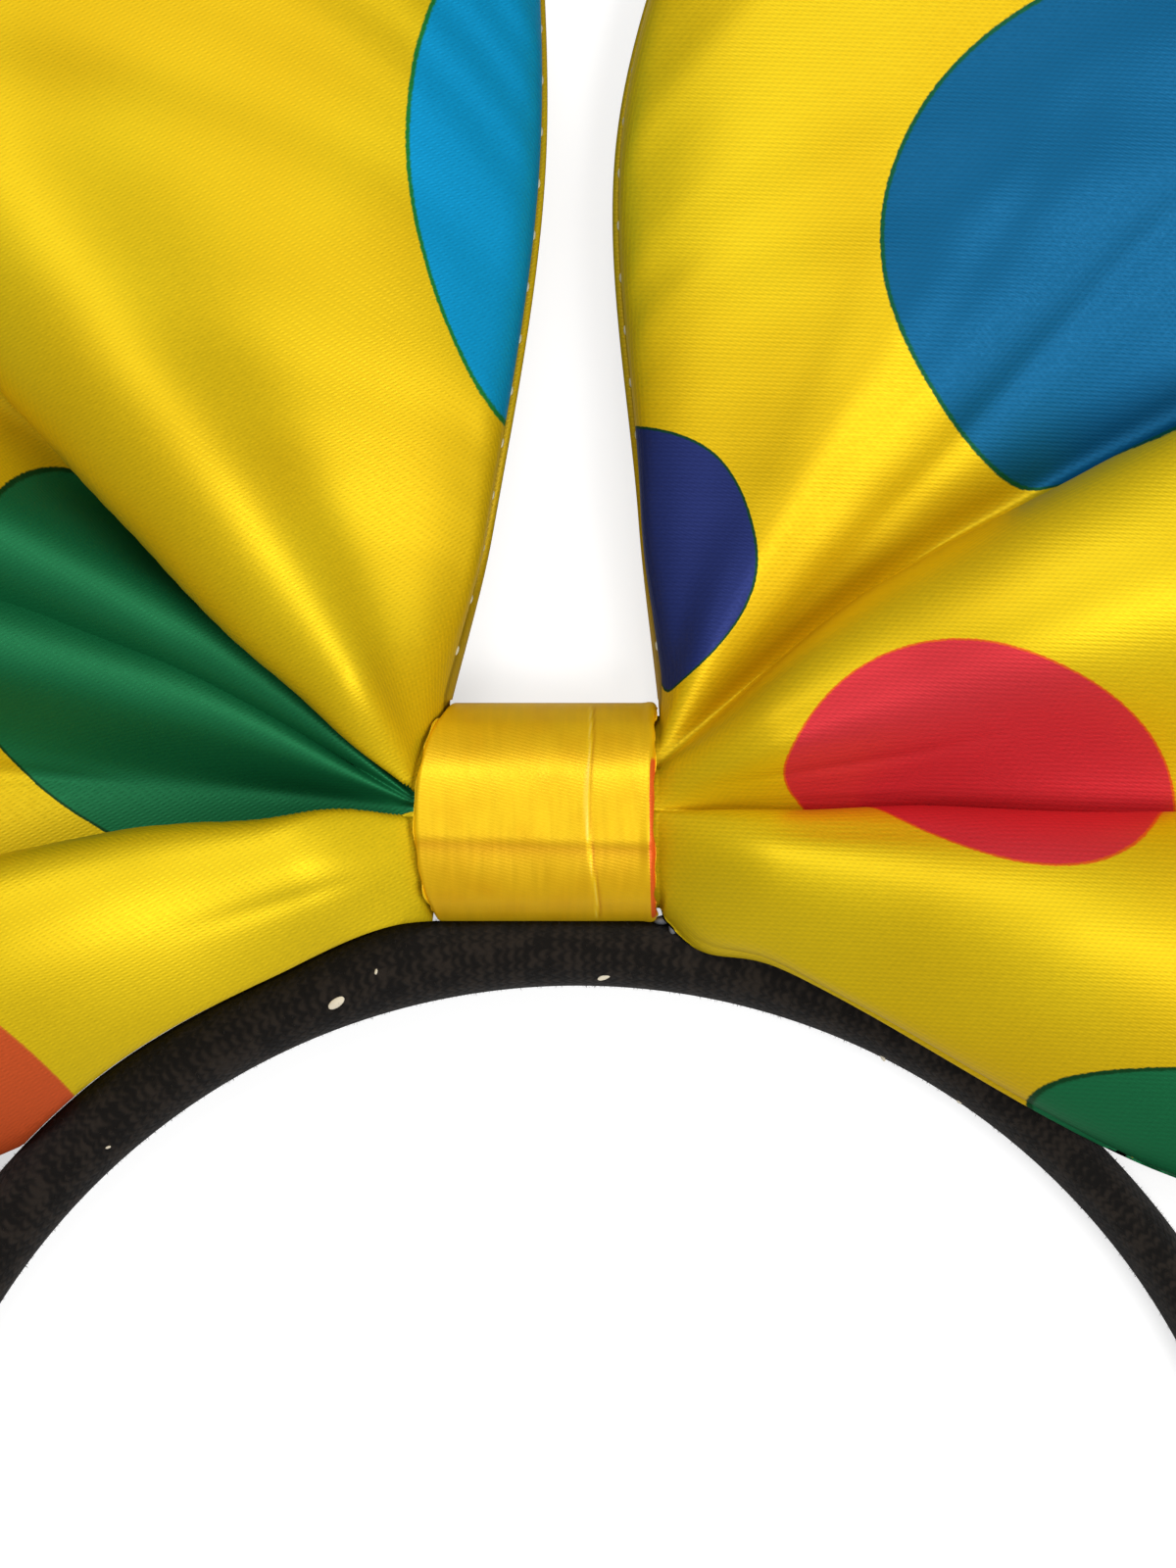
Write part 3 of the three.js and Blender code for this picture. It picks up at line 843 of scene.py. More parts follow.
@dataclass(frozen=True)
class KnotWrap:
    """Satin strip wound round the gathered middle, in millimetres."""

    centre: tuple[float, float, float] = (-4.2, 14.5, 8.5)
    width: float = 24.6
    height: float = 22.3
    depth: float = 16.4
    wall: float = 1.0
    edge_roll: float = 0.5
    boxiness: float = 2.4
    rounds: tuple[float, ...] = (0, 90, 180, 270, 360)
    left: tuple[float, ...] = (0.7, 1, 0.82, 0.8, 0.7)
    right: tuple[float, ...] = (1, 0.98, 1, 0.98, 1)
    crease_height: float = -2.7
    seam_place: float = 5.7
    rings: int = 260
    columns: int = 110

    def reach(self, side: int, angle: np.ndarray) -> np.ndarray:
        """Half width on one side at an angle in degrees from the top towards the front."""
        shares = np.array(self.left if side < 0 else self.right)
        return self.width / 2 * curve_through(np.array(self.rounds, float), shares, np.mod(angle, 360.0))

    def loop(self, angle: np.ndarray, inward: np.ndarray, x: np.ndarray) -> np.ndarray:
        """Point of the rounded loop at an angle in degrees, a depth in from its face.

        Args:
            angle: angle round the loop, from the top towards the front.
            inward: depth in from the face.
            x: place across the strip.

        Returns:
            The points.
        """
        turn = np.radians(angle)
        y = (self.height / 2 - inward) * swell(np.cos(turn), self.boxiness)
        z = (self.depth / 2 - inward) * swell(np.sin(turn), self.boxiness)
        return np.stack([x + self.centre[0], y + self.centre[1], z + self.centre[2]], axis=-1)

    def face_y(self, angle: np.ndarray) -> np.ndarray:
        """Height on the strip's face above the knot's middle."""
        return self.height / 2 * swell(np.cos(np.radians(angle)), self.boxiness)

    def seam_line(self, y: np.ndarray) -> np.ndarray:
        """Where the strip's folded-under end lies at a height on the front."""
        return self.seam_place - 0.45 * bell(y - 1.0, 5.0) + 0.6 * between(-y, 4, 10)

    def below_crease(self, x: np.ndarray, y: np.ndarray) -> np.ndarray:
        """How far a point of the front lies below the slightly sloping crease."""
        return self.crease_height - 0.03 * (x + 6) - y

    def relief(self, angle: np.ndarray, x: np.ndarray) -> np.ndarray:
        """How far the outer face lies in from the smooth loop: a cross crease, the step
        where the strip's end is folded under, and shallow pulls.

        Args:
            angle: angle round the loop.
            x: place across the strip.

        Returns:
            The depths.
        """
        y = self.face_y(angle)
        front = between(np.sin(np.radians(angle)), 0.0, 0.5)
        below = self.below_crease(x, y)
        crease = 0.24 * between(below, -0.5, 1.0)
        band = 0.2 * between(below, 0.5, 7.5) + 0.5 * between(y, 3.4, 9.5)
        step = 0.06 * between(x - self.seam_line(y), -0.3, 0.4)
        pulls = 0.04 * np.sin(x * 0.55 + y * 0.2) * np.sin(y * 0.4 + 1)
        return front * (crease + band + step + pulls)

    def tone(self, angle: np.ndarray, x: np.ndarray) -> np.ndarray:
        """Painted light on the front, paler above a half and darker below: a painted highlight on the
        folded-under end's line with painted shade just past it, and painted shade in the crease, on the band
        below it and across the top.

        Args:
            angle: angle round the loop.
            x: place across the strip.

        Returns:
            The tones from 0 to 1.
        """
        y = self.face_y(angle)
        front = between(np.sin(np.radians(angle)), 0.1, 0.3)
        past = x - self.seam_line(y)
        below = self.below_crease(x, y)
        # pale is a painted highlight just before the end's line with painted shade just past it; dark is
        # painted shade in the crease, on the band below it and across the top.
        pale = bell(past + 0.1, 0.16) - 0.7 * bell(past - 0.2, 0.18)
        dark = 0.7 * bell(below - 0.7, 0.8) + 0.4 * between(below, 0.3, 2.0) + 0.25 * between(y, 4, 6)
        return 0.5 + 0.5 * front * (pale - dark)

    def make(self, finish: Material) -> Piece:
        """The strip: a closed band with rolled edges, its section carried round the loop.

        Args:
            finish: its material.

        Returns:
            The new object.
        """
        steps, columns = self.rings, self.columns
        dense = np.linspace(0, 360, 4001)
        distance = travelled(self.loop(dense, np.zeros(4001), np.zeros(4001)))
        angle = np.interp(np.linspace(0, distance[-1], steps, endpoint=False), distance, dense)
        left = -self.reach(-1, angle)
        right = self.reach(1, angle)
        share = (1 - np.cos(np.linspace(0, math.pi, columns))) / 2
        share = share * 0.6 + np.linspace(0, 1, columns) * 0.4
        x = left[:, None] + (right - left)[:, None] * share[None, :]
        wave = 0.12 * np.sin(np.radians(angle) * 7) + 0.08 * np.sin(np.radians(angle) * 17 + 1)
        x = x + wave[:, None] * (1 - 2 * share)[None, :] ** 8
        turn = np.broadcast_to(angle[:, None], x.shape)
        to_right = right[:, None] - x
        to_edge = np.minimum(x - left[:, None], to_right)
        near = 1 - np.clip(to_edge / self.edge_roll, 0, 1)
        rounding = self.wall / 2 * (1 - np.sqrt(1 - near**2))
        lip = -0.1 * bell(to_right - 0.7, 0.5)
        outer = self.loop(turn, np.maximum(self.relief(turn, x) + lip, -0.16) + rounding + 0.02, x)
        inner = self.loop(turn, self.wall - rounding + np.zeros_like(x), x)
        outer_index = np.arange(steps * columns).reshape(steps, columns)
        inner_index = outer_index + steps * columns
        ring = np.concatenate([outer_index, inner_index[:, ::-1], outer_index[:, :1]], axis=1)
        ring = np.concatenate([ring, ring[:1]], axis=0)
        points = np.concatenate([outer.reshape(-1, 3), inner.reshape(-1, 3)])
        raw = between(to_right, 0.75, 0.35) * between(np.sin(np.radians(turn)), 0.1, 0.3)
        raw = raw * between(self.height / 2 * np.cos(np.radians(turn)), 6.5, 3.5)
        # Painted light and shade on the front; the inner face stays at a half.
        tone = self.tone(turn, x).ravel()
        marks = {
            "raw_edge": np.concatenate([raw.ravel(), raw.ravel() * 0.4]),
            "painted_fold_light": np.concatenate([tone, np.full_like(tone, 0.5)]),
        }
        strip = Skin(points, grid_faces(ring), marks=marks).build("knot_strip", finish)
        placed(strip, "plain_satin", "knot_wrap")
        return strip


# The wings


@dataclass(frozen=True)
class Fold:
    """A fold of a wing, from the knot's mouth to the rim.

    neck is its place in the knot's height from -1 to 1, rise the angle up from sideways to
    its end and reach that end's distance as a share of the wing's. near and far bend it
    sideways at a fifth and three fifths of its way, and close close to the mouth. lift and
    rim are its heights a third of the way out and at the rim, as shares of the fold height.
    """

    place: str
    neck: float
    rise: float
    reach: float
    near: float
    far: float
    lift: float
    rim: float
    close: float = 0.0


@dataclass(frozen=True)
class Wrinkle:
    """A fine crease or pull that runs out from the knot, in rows of the fold table."""

    place: str
    row: float
    drift: float
    start: float
    end: float
    width: float
    depth: float


LEFT_FOLDS = (
    Fold("lower seam", -1, -27, 0.68, -0.024, -0.03, 0.3, 0.02, -0.018),
    Fold("lower swell", -0.75, -21, 0.82, -0.008, -0.012, 0.62, 0.36),
    Fold("lower ridge", -0.4, -14, 0.92, 0.004, -0.004, 0.82, 0.5),
    Fold("lower ridge edge", -0.08, -9, 0.955, 0.012, 0.002, 0.76, 0.44, 0.012),
    Fold("under the lower ridge", -0.06, -11, 0.955, -0.012, 0.0, 0.42, 0.36),
    Fold("valley foot", 0.02, -5, 0.965, 0.004, 0, 0.18, 0.2),
    Fold("valley floor", 0.06, 9, 0.99, 0.002, -0.004, 0.12, 0.12),
    Fold("valley low ridge", 0.1, 18, 1, 0.012, -0.014, 0.46, 0.44),
    Fold("valley groove", 0.13, 23, 1, 0.016, -0.01, 0.32, 0.34),
    Fold("valley high ridge", 0.16, 28.5, 0.995, 0.02, -0.006, 0.52, 0.5),
    Fold("valley head", 0.19, 38.5, 0.965, 0.012, 0, 0.1, 0.2),
    Fold("under the upper ridge", 0.22, 44, 0.95, 0.05, 0.016, 0.36, 0.3),
    Fold("upper ridge edge", 0.23, 43, 0.945, -0.006, 0.002, 0.76, 0.46, -0.006),
    Fold("upper ridge", 0.42, 51, 0.925, 0.004, 0, 1, 0.62),
    Fold("upper panel", 0.64, 62, 0.905, 0.008, 0.01, 0.8, 0.54),
    Fold("upper swell", 0.86, 78, 0.83, 0.014, 0.02, 0.68, 0.4),
    Fold("inner seam", 1, 90, 0.68, 0.018, 0.03, 0.48, 0.12),
)

RIGHT_FOLDS = (
    Fold("lower seam", -1, -25, 0.74, -0.008, -0.033, 0.5, 0.02, -0.014),
    Fold("lower swell", -0.68, -18, 0.86, 0, -0.02, 0.74, 0.38),
    Fold("lower bulge", -0.28, -10, 0.94, 0, -0.006, 0.88, 0.52),
    Fold("bulge top", -0.02, -1, 0.965, -0.006, -0.012, 0.68, 0.42, 0.004),
    Fold("long crease", 0.02, 0, 0.975, -0.02, -0.014, 0.36, 0.3),
    Fold("middle foot", 0.08, 6, 0.98, 0, 0, 0.5, 0.36),
    Fold("middle ridge", 0.28, 17, 1, 0.012, 0.012, 0.92, 0.56),
    Fold("middle ridge edge", 0.44, 26.5, 0.99, 0.022, 0.026, 0.78, 0.46),
    Fold("under the middle ridge", 0.47, 27, 0.98, 0.022, 0.022, 0.4, 0.3),
    Fold("upper foot", 0.55, 32, 0.97, 0.022, 0.022, 0.3, 0.28),
    Fold("upper hollow", 0.66, 42, 0.95, 0.022, 0.026, 0.5, 0.42),
    Fold("upper panel", 0.76, 52, 0.93, 0.022, 0.03, 0.62, 0.48),
    Fold("upper ripple", 0.86, 63, 0.89, 0.022, 0.04, 0.54, 0.4),
    Fold("upper swell", 0.94, 73, 0.82, 0.022, 0.048, 0.5, 0.3),
    Fold("inner seam", 1, 80, 0.72, 0.022, 0.054, 0.38, 0.1),
)


@dataclass(frozen=True)
class SatinWing:
    """A padded wing of the bow: a sheet gathered into the knot, fanning out in folds."""

    name: str
    side: int
    folds: tuple[Fold, ...]
    wrinkles: tuple[Wrinkle, ...]
    knot: KnotWrap
    hoop: Hoop
    wing_reach: float = 150.0
    fold_height: float = 26.0
    padding: float = 5.0
    seam_band: float = 1.1
    seam_round: float = 5.0
    inner_roll: float = 0.3
    lower_roll: float = 0.05
    neck_pleat: float = 1.2
    clearance: float = 0.3
    gather_share: float = 0.22
    row_blur: float = 0.22
    rings: int = 150
    columns: int = 190
    ring_growth: float = 1.3
    per_row: int = 40
    rolled_strip: int = 5
    neck: tuple[float, ...] = (0.25, 3.0, 6.0)
    # Weights of the painted shade on the front's last columns beside the inner seam.
    seam_shade_weights: tuple[float, ...] = (0.8, 1, 0.6, 0.5, 0.6, 0.7)

    @property
    def last(self) -> int:
        """Number of the last fold row."""
        return len(self.folds) - 1

    def profile(self, label: str, rows: np.ndarray) -> np.ndarray:
        """One column of the fold table at any rows, rounded off between them.

        Args:
            label: the column.
            rows: fold rows, whole or between.

        Returns:
            The values.
        """
        fine = np.arange(self.last * self.per_row + 1) / self.per_row
        values = np.array([getattr(fold, label) for fold in self.folds], float)
        curve = blurred(curve_through(np.arange(self.last + 1.0), values, fine), self.row_blur * self.per_row)
        return np.interp(rows, fine, curve)

    def fine_rows(self) -> np.ndarray:
        """Fold rows closely spaced from the first to the last."""
        return np.linspace(0, self.last, self.last * self.per_row + 1)

    def mouth(self, rows: np.ndarray, face: int) -> np.ndarray:
        """Gathered section just outside the knot's strip, on the front or the back.

        Args:
            rows: fold rows.
            face: 1 for the front, -1 for the back.

        Returns:
            The points.
        """
        share = self.profile("neck", rows)
        half_height = self.knot.height / 2 - self.knot.wall - 0.05 - self.clearance
        half_depth = self.knot.depth / 2 - self.knot.wall - 0.2 - self.clearance
        half = half_depth * box_round(share, self.knot.boxiness)
        half = half - self.neck_pleat * (1 - self.profile("lift", rows))
        z = face * np.maximum(half, 0.25)
        y = half_height * share
        power = 4 / self.knot.boxiness
        angle = np.degrees(np.arctan2(swell(z / half_depth, power), swell(y / half_height, power)))
        x = self.side * (self.knot.reach(self.side, angle) + self.clearance)
        return np.stack([x, y, z], axis=-1) + np.array(self.knot.centre)

    def sheet(self, rows: np.ndarray, way: np.ndarray) -> np.ndarray:
        """Middle of the padded sheet at fold rows and shares of the way out to the rim.

        Each fold is a straight line from the mouth to its place on the rim, bent sideways by
        one curve and lifted by another. The pinch beside the knot never reaches back into it.

        Args:
            rows: fold rows.
            way: shares of the way out.

        Returns:
            The points.
        """
        cx, cy, cz = self.knot.centre
        mouth = self.mouth(rows, 1)
        rise = np.radians(self.profile("rise", rows))
        reach = self.wing_reach * self.profile("reach", rows)
        start_x = self.side * (mouth[..., 0] - cx)
        start_y = mouth[..., 1] - cy
        across_x = reach * np.cos(rise) - start_x
        across_y = reach * np.sin(rise) - start_y
        length = np.hypot(across_x, across_y)
        near = self.wing_reach * self.profile("near", rows)
        far = self.wing_reach * self.profile("far", rows)
        shape = rows.shape
        none = np.zeros(rows.size)
        bends = np.stack([none, near.ravel(), far.ravel(), none])
        bend = curve_through(np.array([0, 0.2, 0.6, 1.0]), bends, way.ravel()).reshape(shape)
        close = self.wing_reach * self.profile("close", rows)
        pinch = close * bell(way - 0.055, 0.05) * between(way, 0, 0.009) / length
        lift = self.fold_height * self.profile("lift", rows)
        rim = self.fold_height * self.profile("rim", rows)
        first = cz + (lift - cz) * 0.6
        heights = np.stack([none + cz, first.ravel(), lift.ravel(), rim.ravel()])
        z = curve_through(np.array([0, 0.1, 0.35, 1.0]), heights, way.ravel()).reshape(shape)
        x = start_x + across_x * way - bend * across_y / length
        y = start_y + across_y * way + bend * across_x / length + pinch * across_x
        x = np.maximum(x - pinch * across_y, np.minimum(x, start_x))
        return np.stack([cx + self.side * x, cy + y, z], axis=-1)

    def fold_length(self, rows: np.ndarray) -> np.ndarray:
        """Straight length of each fold."""
        ends = self.sheet(rows, np.ones_like(rows)) - self.sheet(rows, np.zeros_like(rows))
        return np.linalg.norm(ends[..., :2], axis=-1)

    def lay_out(self) -> tuple[np.ndarray, np.ndarray]:
        """Rows and ways of every mesh point, evenly spaced and with fine strips at the edges.

        Returns:
            The fold row and the share of the way for each ring and column.
        """
        band = np.array([3.2, 2.3, 1.6, 1.2, 1.0, 0.86, 0.6, 0.3, 0.08, 0.0])
        fine = self.fine_rows()
        length = self.fold_length(fine)
        share = (np.arange(self.rings) / (self.rings - 1)) ** self.ring_growth
        body_ways = share[:, None] * (1 - band[0] / length)[None, :]
        edge_ways = 1 - band[1:, None] / length[None, :]
        ways = np.concatenate([body_ways, edge_ways])
        across = travelled(self.sheet(np.broadcast_to(fine, ways.shape), ways))
        whole = across[:, -1:]
        scale = np.minimum(1.0, whole / 40.0)
        strip = band[::-1][None, :] * scale
        inner = np.linspace(0, 1, self.columns)[None, 1:-1]
        main = strip[:, -1:] + (whole - 2 * strip[:, -1:]) * inner
        targets = np.concatenate([strip, main, whole - strip[:, ::-1]], axis=1)
        rows = np.stack([np.interp(*ring, fine) for ring in zip(targets, across)])
        return rows, np.stack([np.interp(ring, fine, way) for ring, way in zip(rows, ways)])

    def wrinkled(self, rows: np.ndarray, way: np.ndarray, sheet: np.ndarray) -> np.ndarray:
        """Height added on the front by the table of wrinkles and by soft, seeded pulls.

        Args:
            rows: fold rows of the points.
            way: their shares of the way out.
            sheet: the padded sheet's middle.

        Returns:
            The heights.
        """
        across = travelled(sheet)
        out = self.fold_length(rows) * way
        total = np.zeros_like(across)
        for wrinkle in self.wrinkles:
            line = wrinkle.row + wrinkle.drift * way
            place = np.array([np.interp(line[k].mean(), rows[k], across[k]) for k in range(len(rows))])
            away = (across - place[:, None]) / wrinkle.width
            fade_in = between(way, wrinkle.start - 0.02, wrinkle.start + 0.08)
            fade = fade_in * between(way, wrinkle.end, wrinkle.end - 0.2)
            total -= wrinkle.depth * fade / (1 + away * away) ** 1.5
        chance = np.random.default_rng(7 if self.side < 0 else 19)
        for _ in range(9):
            wide, long = chance.uniform(5, 16), chance.uniform(30, 90)
            phase = chance.uniform(0, 6.28, 2)
            swing = np.sin(across / wide * 2 + phase[0] + np.sin(out / long * 3 + phase[1]))
            total += 0.04 * swing * between(way, 0.05, 0.3)
        return total

    def settle(self, points: np.ndarray) -> np.ndarray:
        """Keeps points off the surface below, off the hoop and off the knot's strip.

        Args:
            points: a skin's points, which are moved.

        Returns:
            The same points.
        """
        centre = np.array([0.0, self.hoop.centre_y])
        offset = points[..., :2] - centre
        far = np.linalg.norm(offset, axis=-1)
        thick = self.hoop.thick(np.degrees(np.arctan2(offset[..., 0], offset[..., 1])))
        outer = self.hoop.inner_radius + thick + (0.03 if self.side < 0 else 0.45)
        if self.side < 0:
            scale = np.where(far < outer, outer / np.maximum(far, 1e-6), 1.0)
            points[..., :2] = centre + offset * scale[..., None]
        else:
            over = 1 - between(far - outer, 1.0, 7.0)
            points[..., 2] = np.maximum(points[..., 2], over * (self.hoop.depth + self.clearance))
        points[..., 2] = np.maximum(points[..., 2], 0.0)
        cx, cy, cz = self.knot.centre
        sideways = self.side * (points[..., 0] - cx)
        y = (points[..., 1] - cy) / (self.knot.height / 2 + self.clearance)
        z = (points[..., 2] - cz) / (self.knot.depth / 2 + self.clearance)
        box = self.knot.boxiness
        angle = np.degrees(np.arctan2(swell(z, 4 / box), swell(y, 4 / box)))
        size = (np.abs(y) ** box + np.abs(z) ** box) ** (1 / box)
        inside = (sideways < self.knot.reach(self.side, angle) + self.clearance - 0.12) & (size < 1)
        grow = np.where(inside, 1 / np.maximum(size, 1e-3), 1.0)
        points[..., 1] = cy + (points[..., 1] - cy) * grow
        points[..., 2] = cz + (points[..., 2] - cz) * grow
        return points

    def skins(self) -> tuple[np.ndarray, np.ndarray, np.ndarray, np.ndarray]:
        """Front and back skins, with the rows and ways of their points.

        Returns:
            The front's and the back's points, their fold rows and shares of the way.
        """
        rows, way = self.lay_out()
        sheet = self.sheet(rows, way)
        out_step = np.gradient(sheet, axis=0)
        across_step = np.gradient(sheet, axis=1)
        normal = np.cross(out_step, across_step) * self.side
        normal /= np.linalg.norm(normal, axis=-1, keepdims=True) + 1e-12
        across = travelled(sheet)
        to_side = np.minimum(across, across[:, -1:] - across)
        to_rim = (1 - way) * self.fold_length(rows)
        to_edge = np.minimum(to_side, to_rim)
        round_width = self.seam_round * (0.35 + 0.65 * between(way, 0.08, 0.4))
        inwards = np.clip((to_edge - self.seam_band) / round_width, 0, 1)
        rounded = np.sqrt(1 - (1 - inwards) ** 2)
        roll_share = np.clip(to_edge / self.seam_band, 0, 1)
        roll = np.sqrt(np.maximum(0, 1 - (2 * roll_share - 1) ** 2)) * (to_edge < self.seam_band)
        roll = np.where(across > across[:, -1:] / 2, self.inner_roll, self.lower_roll) * roll
        half = self.padding / 2
        front_half = 0.05 + (half - 0.05) * rounded + roll
        back_half = half * np.sqrt(1 - (1 - np.clip(to_edge / self.seam_round, 0, 1)) ** 2)
        detail = self.wrinkled(rows, way, sheet) * between(to_edge, 0.8, 5.0)
        front = sheet + normal * (front_half + detail)[..., None]
        back = sheet - normal * (back_half - 0.5 * detail)[..., None]
        start = self.sheet(rows, np.zeros_like(rows))
        share = smooth_step(way / self.gather_share)[..., None]
        front_mouth = self.mouth(rows, 1) + sheet - start
        back_mouth = self.mouth(rows, -1) + sheet - start
        edge = (to_edge <= 1e-6)[..., None]
        front = front_mouth + (front - front_mouth) * share
        back = back_mouth + (back - back_mouth) * share
        joined = (front + back) / 2
        front = np.where(edge, joined, front)
        back = np.where(edge, joined, back)
        front[1:] = self.settle(front[1:])
        back[1:] = self.settle(back[1:])
        return front, back, rows, way

    def make(self, finish: Material, node: str) -> Piece:
        """The wing as one closed mesh: both skins, the seam strip and the neck in the knot.

        Args:
            finish: its cloth.
            node: the CAD node that it stands for.

        Returns:
            The new object.
        """
        front, back, rows, way = self.skins()
        inside = len(self.neck)
        neck_x = self.knot.centre[0] + self.side * np.array(self.neck)
        for_neck = [np.stack([skin[0]] * inside) for skin in (front, back)]
        for rings in for_neck:
            rings[..., 0] = neck_x[:, None]
        front = np.concatenate([for_neck[0], front])
        back = np.concatenate([for_neck[1], back])
        count, width = front.shape[:2]
        index = np.arange(count * width).reshape(count, width)
        back_index = index + count * width
        back_index[:, [0, -1]] = index[:, [0, -1]]
        back_index[-1] = index[-1]
        cap_faces = grid_faces(np.stack([index[0], back_index[0]]))[1:-1]
        length = np.concatenate([np.zeros((inside, width)), self.fold_length(rows) * way])
        length[:inside] = (np.array(self.neck) - 12)[:, None]
        fine = self.fine_rows()
        cut = travelled(self.sheet(fine, np.full_like(fine, 0.62)))
        across = np.interp(np.concatenate([rows[:1]] * inside + [rows]), fine, cut)
        flat = np.stack([across, length], axis=-1).reshape(-1, 2)
        rear_flat = flat + np.array([REAR_SHIFT, 0.0])
        source = grid_faces(index)
        ring, column = np.divmod(np.arange(len(source)), width - 1)
        rolled = (column >= width - 1 - self.rolled_strip) | (ring >= count - 1 - self.rolled_strip)
        front_map = np.where(rolled[:, None, None], rear_flat[source], flat[source])
        cap_map = np.zeros((len(cap_faces), 4, 2))
        faces = np.concatenate([source, grid_faces(back_index)[:, ::-1], cap_faces])
        maps = {"flat_cloth": np.concatenate([front_map, rear_flat[source][:, ::-1], cap_map])}
        points = np.concatenate([front.reshape(-1, 3), back.reshape(-1, 3)])
        # Painted shade on the front's last columns beside the inner seam: its rolled strip and groove.
        seam_shading = np.zeros((2 * count, width))
        seam_shading[inside:count, -len(self.seam_shade_weights):] = self.seam_shade_weights
        used = np.unique(faces)
        renumber = np.zeros(len(points), int)
        renumber[used] = np.arange(len(used))
        marks = {"painted_seam_shade": seam_shading.ravel()[used]}
        wing = Skin(points[used], renumber[faces], maps, marks).build(self.name, finish)
        placed(wing, "dotted_satin", node)
        return wing


@dataclass(frozen=True)
class Beads:
    """Small rounded bits on a surface, each an ellipsoid turned along its own way."""

    across: int = 8
    around: int = 6

    def skin(self, places: np.ndarray, ways: np.ndarray, halves: np.ndarray) -> Skin:
        """Ellipsoids by latitude and longitude, closed at both poles.

        Args:
            places: middle of each bit.
            ways: direction of each bit's length, in the plane of the surface.
            halves: half length, half width and half height of each bit.

        Returns:
            All the bits as one skin.
        """
        latitude = np.linspace(0, math.pi, self.across)
        longitude = np.linspace(0, 2 * math.pi, self.around, endpoint=False)
        sine = np.sin(latitude)[:, None]
        lengthwise = np.cos(latitude)[:, None] * np.ones(self.around)
        shape = np.stack([lengthwise, sine * np.cos(longitude), sine * np.sin(longitude)], axis=-1)
        ways = ways / np.linalg.norm(ways, axis=1, keepdims=True)
        side = np.cross([0.0, 0.0, 1.0], ways)
        side /= np.linalg.norm(side, axis=1, keepdims=True)
        axes = np.stack([ways, side, np.cross(ways, side)], axis=1)
        scaled = shape[None] * halves[:, None, None, :]
        points = places[:, None, None, :] + np.einsum("nijk,nkl->nijl", scaled, axes)
        grid = np.arange(self.across * self.around).reshape(self.across, self.around)
        grid[0] = grid[0, 0]
        grid[-1] = grid[-1, 0]
        quads = grid_faces(np.concatenate([grid, grid[:, :1]], axis=1))
        triangles = np.concatenate([quads[:, [0, 1, 2]], quads[:, [0, 2, 3]]])
        apart = triangles != np.roll(triangles, 1, axis=1)
        triangles = triangles[apart.all(axis=1)]
        used, numbers = np.unique(triangles, return_inverse=True)
        triangles = numbers.reshape(triangles.shape)
        base = np.arange(len(places))[:, None, None] * len(used)
        flat = points.reshape(len(places), -1, 3)[:, used]
        return Skin(flat.reshape(-1, 3), (triangles[None] + base).reshape(-1, 3))


@dataclass(frozen=True)
class SeamStitches:
    """Pale stitches that show in the groove beside a wing's edge."""

    pitch: float = 5.4
    half_length: float = 0.5
    half_width: float = 0.2
    half_height: float = 0.14
    groove_column: int = 5

    def make(self, wing: SatinWing, finish: Material) -> Piece:
        """Stitches at an even pitch along the inner seam and the rim of a wing.

        Args:
            wing: the wing.
            finish: the thread's material.

        Returns:
            The new object.
        """
        front = wing.skins()[0]
        near = self.groove_column
        paths = (front[14:-8, -1 - near], front[-1 - near, 10:-10])
        places, ways = [], []
        for path in paths:
            steps = travelled(path)
            stops = np.arange(self.pitch / 2, steps[-1], self.pitch)
            at = np.stack([np.interp(stops, steps, path[:, axis]) for axis in range(3)], axis=1)
            past = np.stack([np.interp(stops + 0.4, steps, path[:, axis]) for axis in range(3)], axis=1)
            places.append(at)
            ways.append(past - at)
        where = np.concatenate(places) + np.array([0, 0, 0.06])
        sizes = np.tile([self.half_length, self.half_width, self.half_height], (len(where), 1))
        piece = Beads().skin(where, np.concatenate(ways), sizes).build(wing.name + "_stitches", finish)
        return placed(piece, "dotted_satin")


